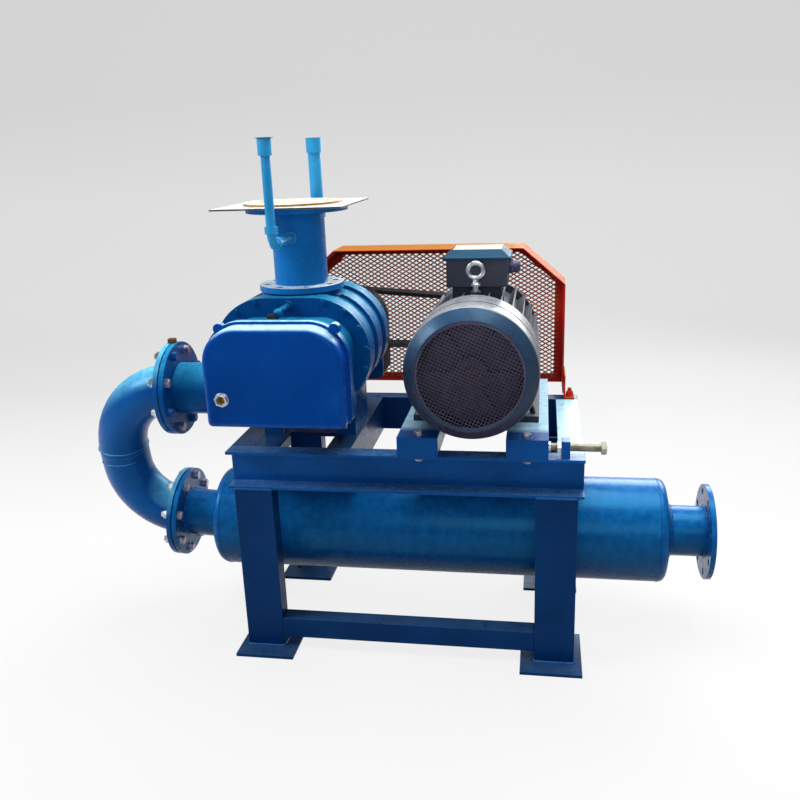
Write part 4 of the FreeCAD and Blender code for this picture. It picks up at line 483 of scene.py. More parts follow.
def dull_stuff(name, tone, dark, rough, grain, scale=90):
    """Matte rubber or plastic with a fine grain and a slightly uneven tone."""
    stuff, tree, shader, place = new_material(name)
    cloud = noise(tree, place, Scale=scale, Detail=8)
    wire(tree, shader, {
        "Base Color": ramp(tree, cloud, ((0.35, dark), (0.65, tone))),
        "Roughness": rough,
        "Specular IOR Level": 0.3,
        "Normal": bumped(tree, noise(tree, place, Scale=900), grain, 0.0003)})
    return stuff


black_rubber = dull_stuff("black rubber", (0.022, 0.022, 0.024), (0.008, 0.008, 0.009), 0.6, 0.4)
kept(black_rubber, "flange_gaskets")

# Hexagon bolts and nuts in the two pairs of flanges: zinc nuts with the thread standing out on
# one side, heads on the other, some of which caught the blue paint.
brassy_zinc = bare_metal("yellowed zinc", (0.42, 0.42, 0.36), (0.25, 0.24, 0.17), 0.38, 0.4)
zinc = bare_metal("bright zinc", (0.70, 0.71, 0.75), (0.42, 0.43, 0.48), 0.30, 0.35)
flange_zinc = bare_metal("weathered zinc", (0.52, 0.51, 0.60), (0.26, 0.25, 0.33), 0.34, 0.45)
dull_zinc = bare_metal("dull zinc", (0.40, 0.37, 0.36), (0.20, 0.15, 0.13), 0.45, 0.5, 0.7)


def new_tree(name, given, sizes):
    """A geometry node tree for a seed, some sizes and a finish, and its inputs."""
    tree = bpy.data.node_groups.new(name, "GeometryNodeTree")
    for label, kind in ((given, "Geometry"), *((size, "Float") for size in sizes),
                        ("Finish", "Material")):
        tree.interface.new_socket(label, in_out="INPUT", socket_type="NodeSocket" + kind)
    tree.interface.new_socket("Made", in_out="OUTPUT", socket_type="NodeSocketGeometry")
    return tree, tree.nodes.new("NodeGroupInput").outputs


def hand_out(tree, given, shape):
    """Makes a shape's copies real, gives it its finish and makes it what the tree returns."""
    real = wired(tree, "GeometryNodeRealizeInstances", {"Geometry": shape})["Geometry"]
    dressed = wired(tree, "GeometryNodeSetMaterial", {"Geometry": real, "Material": given["Finish"]})
    wire(tree, tree.nodes.new("NodeGroupOutput"), {"Made": dressed["Geometry"]})


def joined(tree, shapes):
    """Several geometries as one."""
    whole = tree.nodes.new("GeometryNodeJoinGeometry")
    for shape in shapes:
        wire(tree, whole, {"Geometry": shape})
    return whole.outputs["Geometry"]


def on_points(tree, points, shape, **extra):
    """Copies of a shape on points."""
    return wired(tree, "GeometryNodeInstanceOnPoints",
                 {"Points": points, "Instance": shape, **extra})["Instances"]


def xyz(tree, **parts):
    """A vector from some of its parts."""
    return wired(tree, "ShaderNodeCombineXYZ", parts)["Vector"]


hex_sizes = ("Across Flats", "Height", "Washer Radius", "Washer Height", "Stud Radius", "Stud Reach",
             "Shank")
hex_heads, hex_in = new_tree("hex heads on seats", "Seats", hex_sizes)
across, high, washer_radius, washer_high, stud_radius, stud_reach, shank = (
    hex_in[label] for label in hex_sizes)


def times(first, second):
    return reckon(hex_heads, "MULTIPLY", first, second)


def plus(first, second):
    return reckon(hex_heads, "ADD", first, second)


def named_value(name, kind):
    """A value that each seat carries."""
    return wired(hex_heads, "GeometryNodeInputNamedAttribute", {"Name": name},
                 data_type=kind)["Attribute"]


prism_high = times(high, 0.88)
stud_top = plus(plus(washer_high, high), stud_reach)
bars = []
for sides, radius, depth, bar_middle in (
        (6, times(across, 0.5774), prism_high, plus(washer_high, times(prism_high, 0.5))),
        (20, times(across, 0.475), high, plus(washer_high, times(high, 0.5))),
        (20, washer_radius, washer_high, times(washer_high, 0.5)),
        (14, stud_radius, plus(stud_top, shank),
         times(reckon(hex_heads, "SUBTRACT", stud_top, shank), 0.5))):
    bar = wired(hex_heads, "GeometryNodeMeshCylinder",
                {"Vertices": sides, "Radius": radius, "Depth": depth})["Mesh"]
    bars.append(wired(hex_heads, "GeometryNodeTransform", {
        "Geometry": bar, "Translation": xyz(hex_heads, Z=bar_middle)})["Geometry"])
standing = wired(hex_heads, "FunctionNodeAlignRotationToVector",
                 {"Vector": named_value("axis", "FLOAT_VECTOR")}, axis="Z")["Rotation"]
spun = wired(hex_heads, "FunctionNodeAxisAngleToRotation",
             {"Axis": (0, 0, 1), "Angle": named_value("turn", "FLOAT")})["Rotation"]
turned = wired(hex_heads, "FunctionNodeRotateRotation", {"Rotation": standing, "Rotate By": spun},
               rotation_space="LOCAL")["Rotation"]
spread = on_points(hex_heads, hex_in["Seats"], joined(hex_heads, bars), Rotation=turned)
hand_out(hex_heads, hex_in, spread)


def grown(name, seed_mesh, tree, settings, body, stands_for=None):
    """Runs a node tree on a seed mesh and keeps the result as a plain piece."""
    seed = bpy.data.objects.new(name + "_seed", seed_mesh)
    bpy.context.collection.objects.link(seed)
    growth = seed.modifiers.new("growth", "NODES")
    growth.node_group = tree
    for item in tree.interface.items_tree:
        if item.in_out == "INPUT" and item.name in settings:
            growth[item.identifier] = settings[item.name]
    bpy.context.view_layer.update()
    data = bpy.data.meshes.new_from_object(seed.evaluated_get(bpy.context.evaluated_depsgraph_get()))
    data.name = name
    data.shade_smooth()
    data.set_sharp_from_angle(angle=math.radians(35))
    bpy.data.objects.remove(seed)
    piece = bpy.data.objects.new(name, data)
    bpy.context.collection.objects.link(piece)
    carried(piece, body, stands_for)


def fasteners(name, seats, finish, body, stands_for, across, height, washer, stud, shank):
    """Hex heads or nuts on (seat, outward axis, turn), washers (radius, height), studs (radius, reach)."""
    points = bpy.data.meshes.new(name + "_seats")
    points.from_pydata([tuple(seat) for seat, _, _ in seats], [], [])
    axis = points.attributes.new("axis", "FLOAT_VECTOR", "POINT")
    axis.data.foreach_set("vector", [value for _, way, _ in seats for value in way])
    spin = points.attributes.new("turn", "FLOAT", "POINT")
    spin.data.foreach_set("value", [turn for _, _, turn in seats])
    settings = dict(zip(hex_sizes, (across, height, *washer, *stud, shank)))
    settings["Finish"] = finish
    grown(name, points, hex_heads, settings, body, stands_for)


flange_circle = 0.105
upper_heads = []
upper_nuts = []
lower_heads = []
lower_nuts = []
across_inlet = Vector((math.sin(inlet_tilt), 0, math.cos(inlet_tilt)))
for number in range(8):
    swing = math.radians(22.5 + 45 * number)
    reach = Vector((0, math.sin(swing) * flange_circle, math.cos(swing) * flange_circle))
    upper_heads.append((Vector((-0.6155, outlet_y, outlet_high)) + reach, (1, 0, 0), number * 1.3))
    upper_nuts.append((Vector((-0.6445, outlet_y, outlet_high)) + reach, (-1, 0, 0),
                       number * 0.9 + 0.2))
    swing = math.radians(27 + 45 * number)
    flat = (across_inlet * math.cos(swing) * flange_circle
            + Vector((0, math.sin(swing) * flange_circle, 0)))
    for group, distance, way in ((lower_heads, 0.097, -1), (lower_nuts, 0.126, 1)):
        seat = Vector((inlet_start - distance * math.cos(inlet_tilt), 0,
                       distance * math.sin(inlet_tilt))) + flat
        group.append((in_bend(*seat), tuple(way * inlet_way), number * 1.1 + 0.4))
for name, seats, finish, slot_name, hex_height, reach in (
        ("upper_flange_heads", upper_heads[::2], flange_zinc, "zinc_steel", 0.010, 0.0004),
        ("upper_flange_blue_heads", upper_heads[1::2], steel_blue, "blue_paint", 0.010, 0.0004),
        ("lower_flange_heads", lower_heads, flange_zinc, "zinc_steel", 0.010, 0.0004),
        ("upper_flange_nuts", upper_nuts[1:7], zinc, "zinc_steel", 0.013, 0.005),
        ("upper_flange_dull_nuts", upper_nuts[:1] + upper_nuts[7:], dull_zinc, "rusty_steel",
         0.013, 0.005),
        ("lower_flange_nuts", lower_nuts, zinc, "zinc_steel", 0.013, 0.005)):
    fasteners(name, seats, finish, "blower_table", "flange_bolts", across=0.0210,
              height=hex_height, washer=(0.0122, 0.0014), stud=(0.008, reach),
              shank=0.029 if "nuts" in name else 0.001)

# Square-headed plug in the top of the blower's outlet flange: plain steel, screwed in and left
# unpainted, so that it has rusted all over.


def blocks(name, boxes, edge, finish, body):
    """A piece of plain boxes, each (middle, size), with broken edges."""
    shape = bmesh.new()
    for middle, size in boxes:
        bmesh.ops.create_cube(shape, size=1, matrix=Matrix.Translation(middle)
                              @ Matrix.Diagonal((*size, 1)))
    piece = object_of(shape, name, finish)
    broken = piece.modifiers.new("broken edges", "BEVEL")
    broken.width = edge
    broken.segments = 2
    carried(piece, body)


rust = dull_stuff("brown rust", (0.155, 0.062, 0.030), (0.055, 0.025, 0.016), 0.75, 0.8, 220)
blocks("flange_plug", [((-0.630, -0.100, 0.8075), (0.020, 0.018, 0.013))], 0.0025, rust,
       "blower_table")

# Ribbed blower casing with its two end plates: rough iron castings under thick blue paint, the
# faces between them machined flat. The ribs turn cyan where they face up: a painted highlight.
cast_blue = enamel("blue enamel on iron", (0.0014, 0.050, 0.200), (0.0034, 0.084, 0.300), 0.27, 0.0009,
                   0.55, 0.22, (0.03, 0.60, 1.0), (0.03, 0.38, 0.60), 0.15)
for casting, edge_width in (("cylinder", 0.0020), ("gear_end_plate", 0.0020),
                            ("drive_end_plate", 0.0015)):
    eased(casting, edge_width, cast_blue)
rim_circle = 0.129
rim_heads = []
for side in (-1, 1):
    for angle in (12, 36, 60, 84, 106):
        swing = math.radians(angle)
        rim_heads.append(((-0.2625 + side * (0.058 + rim_circle * math.sin(swing)), -0.231,
                           0.805 + rim_circle * math.cos(swing)), (0, -1, 0), angle * 0.1))
fasteners("casing_rim_screws", rim_heads, cast_blue, "blower_table", "plate_screws",
          across=0.013, height=0.0055, washer=(0.0072, 0.0004), stud=(0.004, -0.001), shank=0.0005)

# Gear case cover: a deep rounded lid of cast iron in front of the timing gears, and the dark
# cover over the bearings at the belt end.
# A pale cyan painted highlight on what faces up, along the cover's top.
lid_blue = enamel("blue enamel on the cover", (0.0010, 0.044, 0.262), (0.0016, 0.058, 0.325), 0.25,
                  0.0005, 0.95, 0.4, (0.08, 0.55, 1.0), (0.50, 0.84, 0.94), 0.5)
eased("gear_cover", 0.0045, lid_blue, bend=38)
dark_cover = enamel("near-black enamel", (0.0022, 0.0022, 0.0030), (0.0050, 0.0045, 0.0060), 0.5,
                    0.0009, 0.0, 0.12, (1, 0.9, 0.8))
eased("drive_end_cover", 0.0028, dark_cover, bend=38)

# Sight glass low on the gear case: a zinc hexagon screwed in over a collar, with an amber window
# in its middle that shows the oil.
amber, amber_tree, amber_shader, amber_place = new_material("amber oil glass")
wire(amber_tree, amber_shader, {
    "Base Color": ramp(amber_tree, noise(amber_tree, amber_place, Scale=190),
                       ((0.42, (0.010, 0.006, 0.002)), (0.58, (0.200, 0.110, 0.012)))),
    "Roughness": 0.30,
    "Specular IOR Level": 0.15})


def turned_part(name, profile, centre, axis, sides, finish, body, stands_for=None,
                smooth=40):
    """A lathe-turned piece: (radius, distance) pairs about an axis, closed where a radius is 0."""
    axis = Vector(axis).normalized()
    side = axis.orthogonal().normalized()
    other = axis.cross(side)
    lathe = bmesh.new()
    rows = []
    for radius, distance in profile:
        spot = Vector(centre) + axis * distance
        if radius == 0:
            rows.append([lathe.verts.new(spot)])
        else:
            rows.append([lathe.verts.new(spot + radius * spoke(side, other, 2 * math.pi * k / sides))
                         for k in range(sides)])
    for low, up in zip(rows, rows[1:]):
        for k in range(sides):
            nxt = (k + 1) % sides
            if len(low) == 1:
                lathe.faces.new((low[0], up[nxt], up[k]))
            elif len(up) == 1:
                lathe.faces.new((low[k], low[nxt], up[0]))
            else:
                lathe.faces.new((low[k], low[nxt], up[nxt], up[k]))
    bmesh.ops.recalc_face_normals(lathe, faces=lathe.faces)
    smoothed(lathe, smooth)
    carried(object_of(lathe, name, finish), body, stands_for)


collar_line = [(0.0, 0.0), (0.0166, 0.0), (0.0166, 0.0016), (0.0150, 0.0026), (0.0, 0.0026)]
hexagon_line = [(0.0098, 0.0026), (0.0165, 0.0026), (0.0165, 0.0090), (0.0152, 0.0106),
                (0.0116, 0.0106), (0.0100, 0.0076), (0.0098, 0.0026)]
window_line = [(0.0, 0.0028), (0.0106, 0.0028), (0.0106, 0.0072), (0.0066, 0.0084), (0.0, 0.0088)]
for name, line, sides, finish, smooth in (
        ("sight_collar", collar_line, 36, zinc, 40), ("sight_hexagon", hexagon_line, 6, zinc, 10),
        ("sight_window", window_line, 32, amber, 40)):
    turned_part(name, line, (-0.3845, -0.400, 0.738), (0, -1, 0), sides, finish, "blower_table",
                "oil_sight_glass", smooth)

# Oil filler: a black moulded cap block on the case's neck, with the painted breather pipe that
# runs back from it to a boss on the end plate.
black_plastic = dull_stuff("black moulded cap", (0.020, 0.020, 0.026), (0.010, 0.010, 0.013), 0.42, 0.3)
eased("oil_filler", 0.0024, black_plastic)
eased("breather_pipe", 0.0008, cast_blue)

# Inside the blower: two three-lobe rotors of ground iron on their shafts, their timing gears and
# bearings of oiled steel, and the rubber seal at the belt end.
ground_iron = bare_metal("ground iron", (0.42, 0.42, 0.43), (0.28, 0.28, 0.29), 0.32, 0.5)
gear_steel = bare_metal("oiled gear steel", (0.48, 0.46, 0.42), (0.30, 0.28, 0.25), 0.25, 0.3)
kept(ground_iron, "drive_rotor", "driven_rotor")
kept(gear_steel, "drive_gear", "driven_gear", "bearings")
kept(black_rubber, "shaft_seal")

# Belt drive: two turned iron pulleys and three V-belts of worn black rubber.
pulley_iron = bare_metal("turned pulley iron", (0.30, 0.30, 0.31), (0.14, 0.14, 0.15), 0.4, 0.6)
belt_rubber = dull_stuff("worn belt rubber", (0.020, 0.020, 0.020), (0.007, 0.007, 0.008), 0.5, 0.5, 140)
kept(pulley_iron, "blower_pulley", "motor_pulley")
eased("v_belts", 0, belt_rubber,
      stretch=("blower_table", "motor_carriage", (-0.24, 0.3295, 0.78), (0.10, 0.3295, 0.78)))

# Motor slide rails, channels in the table's blue closed by a plate at each end, which slide the
# motor along to tension the belts, with the screws that clamp them and hold the motor's feet.
# The rails' tops behind the motor's feet carry a near-white painted light.
eased("motor_rails", 0.0012, rail_blue, body="motor_carriage")
motor_x = 0.177
motor_high = 0.76805
rail_top = 0.60805
foot_x = 0.127
rail_x = 0.1315
foot_seats = []
rail_ends = []
rail_clamps = []
rail_nuts = []
for side in (-1, 1):
    for end in (-1, 1):
        rail_ends.append(((motor_x + side * rail_x, end * 0.2680, 0.5838), (0.0985, 0.0036, 0.0470)))
        x, y = motor_x + side * rail_x, end * 0.246
        rail_clamps.append(((x, y, rail_top), (0, 0, 1), side * 0.7 + end))
        rail_nuts.append(((x, y, 0.552), (0, 0, -1), side * 1.7 + end))
    for y in (0.139, -0.115):
        x = motor_x + side * foot_x
        foot_seats.append(((x, y, rail_top + 0.016), (0, 0, 1), 0.4 + side))
        rail_nuts.append(((x, y, rail_top - 0.0053), (0, 0, -1), y * 7))
fasteners("motor_foot_screws", foot_seats, zinc, "motor_carriage", "rail_bolts",
          across=0.019, height=0.008, washer=(0.0125, 0.002), stud=(0.006, 0.0004), shank=0.016)
blocks("rail_end_plates", rail_ends, 0.0008, steel_blue, "motor_carriage")
fasteners("rail_clamp_heads", rail_clamps, zinc, "motor_carriage", "rail_bolts",
          across=0.019, height=0.008, washer=(0.0115, 0.001), stud=(0.006, -0.001), shank=0.040)
fasteners("rail_screw_nuts", rail_nuts, dull_zinc, "motor_carriage", "rail_bolts",
          across=0.019, height=0.0095, washer=(0.0105, 0.0005), stud=(0.006, 0.0008), shank=0.004)

# Motor frame: a finned cast barrel with two long feet, its end shields bolted on, all under
# thin steel-grey enamel with a pale painted light on what faces up.
motor_grey = enamel("steel grey enamel", (0.018, 0.026, 0.042), (0.045, 0.058, 0.080), 0.36, 0.0012,
                    0.20, 0.35, (0.8, 0.9, 1.0), (0.55, 0.60, 0.62))
eased("motor_frame", 0.0012, motor_grey, body="motor_carriage")
eased("end_shields", 0.0012, motor_grey, body="motor_carriage")
kept(mill_steel, "stator")
kept(gear_steel, "motor_shaft")
fan_plastic = dull_stuff("purple black fan plastic", (0.050, 0.034, 0.075), (0.022, 0.014, 0.034),
                         0.45, 0.3)
kept(fan_plastic, "motor_fan")
hub_brown = dull_stuff("brown hub cap", (0.060, 0.030, 0.040), (0.022, 0.012, 0.018), 0.5, 0.4)
cowl_at = Vector((motor_x, -0.300, motor_high))
turned_part("fan_hub_cap", [(0.0, 0.0250), (0.0190, 0.0250), (0.0225, 0.0270), (0.0225, 0.0300),
                            (0.0, 0.0300)],
            cowl_at, (0, 1, 0), 40, hub_brown, "motor_rotor")

# Fan cowl: pressed from thin sheet in one piece, with a rolled groove round it and a bevelled
# nose; silvery grey over the barrel with a pale painted light on top, and on the bevel blue where
# it faces up and purplish brown where it faces down, both painted reflection.
cowl_paint = enamel("cowl silver enamel", (0.070, 0.085, 0.105), (0.135, 0.150, 0.175), 0.28, 0.0004,
                    0.22, 0.6, (0.9, 0.95, 1.0), (0.62, 0.64, 0.66), 0.2)
bevel_paint = enamel("cowl nose enamel", (0.022, 0.018, 0.036), (0.044, 0.034, 0.056), 0.28, 0.0004,
                     0.90, 0.5, (0.45, 0.75, 1.0), (0.016, 0.070, 0.150), -0.75)
cowl_radius = 0.1598
cowl_line = [(cowl_radius, 0.180), (cowl_radius, 0.0992)]
for step in range(9):
    swing = math.pi * step / 8
    cowl_line.append((cowl_radius - 0.0035 * math.sin(swing), 0.0950 + 0.0042 * math.cos(swing)))
cowl_line += [(cowl_radius, 0.0908), (cowl_radius, 0.0300), (0.1592, 0.0278), (0.1579, 0.0258)]
nose_line = [(0.1579, 0.0258), (0.1340, 0.0016), (0.1325, 0.0005), (0.1305, 0.0), (0.1290, 0.0006),
             (0.1284, 0.0042), (0.1284, 0.0068), (0.1560, 0.0310), (0.1570, 0.0330),
             (0.1570, 0.180), (cowl_radius, 0.180)]
for name, line, paint in (("cowl_skin", cowl_line, cowl_paint), ("cowl_nose", nose_line, bevel_paint)):
    turned_part(name, line, cowl_at, (0, 1, 0), 128, paint, "motor_carriage",
                "fan_cowl", smooth=24)

# Grille of the cowl: a web of square holes, turned 24 degrees from upright, with a plain rim
# round it and a darker, purplish paint.
grille_paint = enamel("grille enamel", (0.050, 0.044, 0.080), (0.115, 0.100, 0.165), 0.36, 0.0006,
                      0.05, 0.5, (0.9, 0.85, 1.0))
web, web_in = new_tree("grille of square holes", "Field", ("Pitch", "Bar", "Radius", "Thickness"))
web_radius = web_in["Radius"]
web_span = reckon(web, "MULTIPLY", web_radius, 2.1)
field = wired(web, "GeometryNodeMeshLine", {
    "Start Location": xyz(web, X=reckon(web, "MULTIPLY", web_span, -0.5)),
    "Offset": xyz(web, X=reckon(web, "MULTIPLY", web_span, 0.5)),
    "Resolution": web_in["Pitch"]}, mode="END_POINTS", count_mode="RESOLUTION")["Mesh"]
rib_off = axis_parts(web, wired(web, "GeometryNodeInputPosition", {})["Position"])["X"]
room = reckon(web, "SUBTRACT", reckon(web, "MULTIPLY", web_radius, web_radius),
              reckon(web, "MULTIPLY", rib_off, rib_off))
chord = reckon(web, "MULTIPLY",
               reckon(web, "POWER", reckon(web, "MAXIMUM", room, 0.0), 0.5), 2.0)
rib = wired(web, "GeometryNodeMeshCube", {
    "Size": xyz(web, X=web_in["Bar"], Y=web_in["Thickness"], Z=1.0)})["Mesh"]
ribs = on_points(web, field, rib, Scale=xyz(web, X=1.0, Y=1.0, Z=chord))
two_ways = joined(web, [
    wired(web, "GeometryNodeTransform",
          {"Geometry": ribs, "Rotation": (0, math.radians(lean), 0)})["Geometry"]
    for lean in (24, -66)])
hand_out(web, web_in, on_points(web, web_in["Field"], two_ways))
one_point = bpy.data.meshes.new("grille_middle")
one_point.from_pydata([(motor_x, -0.2952, motor_high)], [], [])
grown("grille_web", one_point, web,
      {"Pitch": 0.0080, "Bar": 0.0017, "Radius": 0.1255, "Thickness": 0.0020, "Finish": grille_paint},
      "motor_carriage", "fan_cowl")
turned_part("grille_rim", [(0.1240, 0.0032), (0.1284, 0.0032), (0.1284, 0.0066), (0.1240, 0.0066),
                           (0.1240, 0.0032)],
            cowl_at, (0, 1, 0), 96, grille_paint, "motor_carriage", "fan_cowl")

# Terminal box of cast aluminium on the frame's top, its lid with a broad bevel held by four
# cap screws, and a plastic cable gland at its right.
box_paint = enamel("box grey enamel", (0.026, 0.030, 0.048), (0.060, 0.064, 0.092), 0.33, 0.0009,
                   0.10, 0.5, (0.85, 0.92, 1.0))
# The lid's top carries a pale painted light; the box has a thin one on what faces up.
lid_paint = enamel("lid grey enamel", (0.006, 0.036, 0.076), (0.014, 0.066, 0.128), 0.46, 0.0007,
                   1.0, 0.14, (0.3, 0.75, 1.0), (0.46, 0.45, 0.40), 0.90)
eased("terminal_box", 0.0024, box_paint, body="motor_carriage")
eased("terminal_lid", 0.0016, lid_paint, body="motor_carriage")
lid_screws = [((x, y, 1.0104), (0, 0, 1), x * 30 + y * 60)
              for x in (0.108, 0.246) for y in (-0.0475, 0.0675)]
fasteners("lid_screws", lid_screws, zinc, "motor_carriage", None, across=0.009,
          height=0.0045, washer=(0.0055, 0.0006), stud=(0.002, -0.001), shank=0.003)
gland_paint = dull_stuff("purple grey gland plastic", (0.085, 0.085, 0.190), (0.045, 0.045, 0.100),
                         0.4, 0.3, 160)
nut_line = [(0.0, 0.0), (0.0203, 0.0), (0.0203, 0.0095), (0.0190, 0.0120), (0.0, 0.0120)]
dome_line = [(0.0080, 0.0300), (0.0125, 0.0300), (0.0150, 0.0272), (0.0160, 0.0225),
             (0.0160, 0.0120), (0.0080, 0.0120), (0.0080, 0.0300)]
for name, line, sides, smooth in (("gland_hexagon", nut_line, 6, 10), ("gland_dome", dome_line, 40, 40)):
    turned_part(name, line, (0.2535, 0.010, 0.97778), (1, 0, 0), sides, gland_paint,
                "motor_carriage", "cable_gland", smooth)

# Lifting eye: a forged ring on a stem with a collar, bright zinc, screwed into the boss between
# the cowl and the box.
eye_middle = Vector((motor_x, -0.095, 0.983))
eye_ring = 18.5e-3
eye_bar = 5.5e-3
eye_steps = 48
bar_sides = 20
eye = bmesh.new()
rows = []
for step in range(eye_steps):
    swing = 2 * math.pi * step / eye_steps
    out = Vector((math.cos(swing), 0, math.sin(swing)))
    heavier = eye_bar * (1.0 if math.sin(swing) > -0.7 else 1.0 - 0.1 * (math.sin(swing) + 0.7))
    rows.append([eye.verts.new(eye_middle + out * eye_ring + heavier
                               * spoke(out, Vector((0, 1, 0)), 2 * math.pi * k / bar_sides))
                 for k in range(bar_sides)])
for here, there in zip(rows, rows[1:] + rows[:1]):
    for k in range(bar_sides):
        nxt = (k + 1) % bar_sides
        eye.faces.new((here[k], there[k], there[nxt], here[nxt]))
bmesh.ops.recalc_face_normals(eye, faces=eye.faces)
smoothed(eye)
carried(object_of(eye, "eye_ring", zinc), "motor_carriage", "eyebolt")
turned_part("eye_stem", [(0.0, 0.0), (0.0070, 0.0), (0.0070, 0.0128), (0.0120, 0.0140),
                         (0.0120, 0.0185), (0.0105, 0.0202), (0.0078, 0.0225), (0.0066, 0.0280),
                         (0.0066, 0.0326), (0.0, 0.0326)],
            (motor_x, -0.095, 0.93205), (0, 0, 1), 32, zinc, "motor_carriage", "eyebolt")

# Tension bolt of bright zinc: a long threaded rod through the lug on the table's end, its
# locknut against the lug and a hexagon at the spanner's end.
tension_at = Vector((0.3365, -0.246, 0.584))
rod_length = 0.1445
thread_pitch = 0.0025
thread_line = [(0.0, 0.0), (0.0086, 0.0)]
for turn in range(57):
    start = 0.0015 + turn * thread_pitch
    if start + thread_pitch < rod_length:
        thread_line += [(0.0100, start), (0.0100, start + 0.0006), (0.0087, start + 0.0014),
                        (0.0087, start + 0.0018)]
thread_line += [(0.0092, rod_length), (0.0, rod_length)]
sleeve_line = [(0.0095, 0.0028), (0.0140, 0.0028), (0.0150, 0.0040), (0.0150, 0.0126),
               (0.0140, 0.0138), (0.0095, 0.0138), (0.0095, 0.0028)]
ring_line = [(0.0095, 0.0222), (0.0140, 0.0222), (0.0140, 0.0272), (0.0095, 0.0272), (0.0095, 0.0222)]
for name, line, finish, smooth in (
        ("tension_thread", thread_line, brassy_zinc, 20), ("tension_collar", sleeve_line, zinc, 40),
        ("tension_ring", ring_line, zinc, 40)):
    turned_part(name, line, tension_at, (1, 0, 0), 32, finish, "tension_screw",
                "tension_bolt", smooth)
fasteners("tension_head", [(tension_at + Vector((rod_length, 0, 0)), (1, 0, 0), 0.3)], brassy_zinc,
          "tension_screw", "tension_bolt", across=0.030, height=0.012,
          washer=(0.0145, 0.0004), stud=(0.009, -0.001), shank=0.001)
turned_part("tension_locknut_hexagon", [(0.0101, 0.0), (0.0160, 0.0), (0.0173, 0.0012),
                                        (0.0173, 0.0098), (0.0160, 0.0110), (0.0101, 0.0110),
                                        (0.0101, 0.0)],
            (0.378, -0.246, 0.584), (1, 0, 0), 6, zinc, "blower_table",
            "tension_locknut", smooth=10)

# Belt guard: a folded sheet tray in dark red enamel with an angle frame and a bolted bracket,
# left in the guard's paint, at each rear corner of the table. Its sloping top, where it caught the
# light, is pale orange as painted light.
guard_red = enamel("red enamel with painted orange light on top", (0.620, 0.018, 0.024), (0.780, 0.044, 0.030), 0.46,
                   0.0005, 1.0, 0.10, (1.0, 0.50, 0.16), (0.280, 0.110, 0.007), 0.2)
eased("guard_shell", 0.0012, guard_red)
eased("guard_brackets", 0.0012, guard_red)
fasteners("bracket_bolts", [((0.4215, 0.2475, 0.5642), (0, 0, 1), 0.2),
                            ((-0.4715, 0.2475, 0.5642), (0, 0, 1), 0.9)],
          guard_red, "blower_table", None, across=0.019, height=0.012,
          washer=(0.012, 0.002), stud=(0.006, 0.010), shank=0.002)

# Mesh of the guard: expanded strands crossing in flat diamonds inside the frame, faded to a
# pinkish tan.
mesh_paint = enamel("faded mesh enamel", (0.330, 0.060, 0.022), (0.560, 0.150, 0.070), 0.5, 0.0004,
                    0.10, 0.1, (1.0, 0.5, 0.3), (0.40, 0.10, 0.03))
guard_outline = [(-0.441, 0.571), (-0.441, 0.820), (-0.287, 0.976), (0.290, 0.976),
                 (0.391, 0.878), (0.391, 0.571)]


def inside_guard(x, z):
    """Whether a point lies inside the frame's outline."""
    crossings = 0
    for (x1, z1), (x2, z2) in zip(guard_outline, guard_outline[1:] + guard_outline[:1]):
        if (z1 > z) != (z2 > z) and x < (x2 - x1) * (z - z1) / (z2 - z1) + x1:
            crossings += 1
    return crossings % 2 == 1


strand_wide = 0.022
strand_high = 0.013
mesh_y = 0.4145
field_left = -0.46
field_width = 0.87
field_steps = 420
strand_points = []
strand_edges = []
for family in (-1, 1):
    for number in range(-80, 81):
        last_inside = None
        for step in range(field_steps + 1):
            x = field_left + step * (field_width / field_steps)
            z = 0.72 + family * (x * strand_high / strand_wide) + number * strand_high
            if inside_guard(x, z):
                strand_points.append((x, mesh_y + 0.0006 * family, z))
                here = len(strand_points) - 1
                if last_inside is not None and step - last_inside == 1:
                    strand_edges.append((here - 1, here))
                last_inside = step
strand_seed = bpy.data.meshes.new("guard_strands")
strand_seed.from_pydata(strand_points, strand_edges, [])
merger = bmesh.new()
merger.from_mesh(strand_seed)
bmesh.ops.dissolve_verts(merger, verts=[v for v in merger.verts if len(v.link_edges) == 2])
merger.to_mesh(strand_seed)
merger.free()
strands, strand_in = new_tree("flat strands along lines", "Lines", ("Strand Radius",))
line_curve = wired(strands, "GeometryNodeMeshToCurve", {"Mesh": strand_in["Lines"]})["Curve"]
cut_shape = wired(strands, "GeometryNodeCurvePrimitiveCircle",
                  {"Resolution": 4, "Radius": strand_in["Strand Radius"]})["Curve"]
drawn = wired(strands, "GeometryNodeCurveToMesh",
              {"Fill Caps": True, "Curve": line_curve, "Profile Curve": cut_shape})["Mesh"]
hand_out(strands, strand_in, drawn)
grown("guard_strands", strand_seed, strands, {"Strand Radius": 0.0020, "Finish": mesh_paint},
      "blower_table", "guard_mesh")

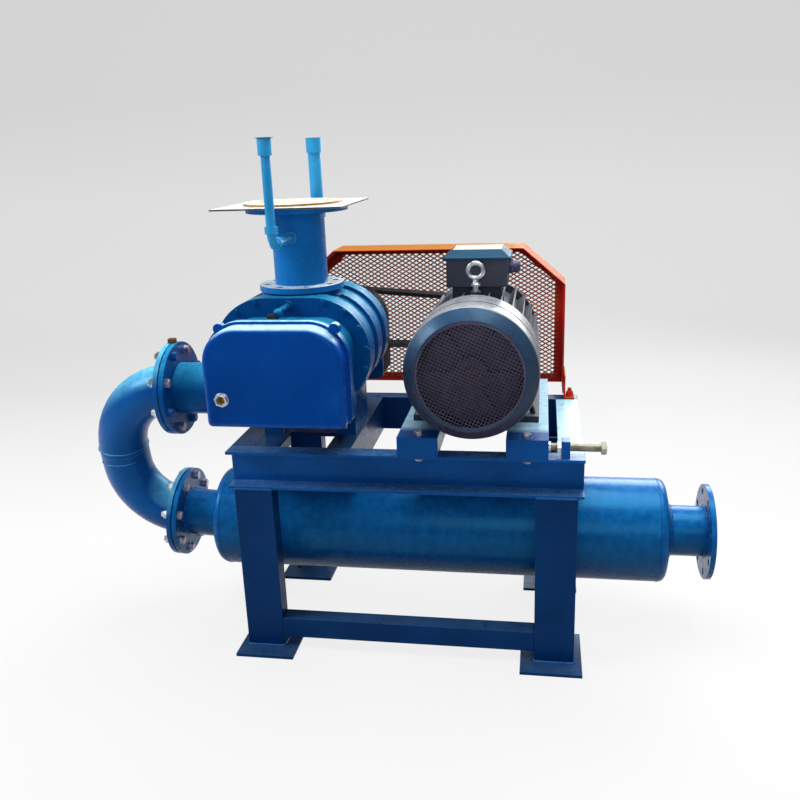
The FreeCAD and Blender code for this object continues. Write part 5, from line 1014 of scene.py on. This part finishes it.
# Intake pipe on the blower with a drilled flange at its top, in a brighter blue than the table
# and nearly white on what faces up, both painted light, under a square steel plate and a disc
# that are left bare.
intake_blue = enamel("blue enamel on the intake", (0.0040, 0.125, 0.400), (0.0080, 0.175, 0.520), 0.24,
                     0.0006, 1.0, 0.5, blue_cast, (0.80, 0.90, 0.90), 0.7)
eased("intake_pipe", 0.0012, intake_blue, bend=28)


def rimmed(metal, rim):
    """Colours the cut edges of a flat plate, told from its faces by the way they point."""
    tree = metal.node_tree
    base = tree.nodes["Principled BSDF"].inputs["Base Color"]
    inner = base.links[0].from_socket
    facing = wired(tree, "ShaderNodeNewGeometry", {})["True Normal"]
    flat = reckon(tree, "ABSOLUTE", axis_parts(tree, facing)["Z"])
    tree.links.new(mixed(tree, flat, (*rim, 1), inner), base)
    return metal


# The plate's dark cut edges are partly rust and partly painted shade.
bare_plate = rimmed(bare_metal("pale bare plate", (0.72, 0.73, 0.73), (0.54, 0.55, 0.54), 0.42, 0.3,
                               0.45), (0.060, 0.045, 0.035))
eased("cover_plate", 0.0004, bare_plate)
disc_rust = rimmed(bare_metal("rust tinged disc", (0.82, 0.80, 0.74), (0.56, 0.42, 0.22), 0.42, 0.5,
                              0.45), (0.300, 0.170, 0.040))
eased("blank_disc", 0.0004, disc_rust)

# Risers: a nipple, an elbow and a pipe each, one from the front and one from the rear of the
# intake pipe, with a socket on top whose cut rim has gone rusty.
# A lighter blue than the table's: painted light.
lit_riser_blue = enamel("blue enamel lightened as painted light", (0.016, 0.235, 0.530), (0.046, 0.355, 0.690), 0.30, 0.0005,
                    0.1, 0.4, (0.25, 0.75, 1.0), (0.30, 0.62, 0.78))
eased("risers", 0.0006, lit_riser_blue, bend=24)
eased("riser_couplings", 0.0012, lit_riser_blue, bend=24)
rim_inside = 0.0162
rim_outside = rim_inside + 0.0046
for number, x, y in ((1, -0.2625, -0.315), (2, -0.2675, 0.119)):
    turned_part("riser_rim_%d" % number,
                [(rim_inside, 0.0), (rim_outside, 0.0), (rim_outside, 0.0010), (rim_inside, 0.0010),
                 (rim_inside, 0.0)],
                (x, y, 1.3090), (0, 0, 1), 40, rust, "blower_table")
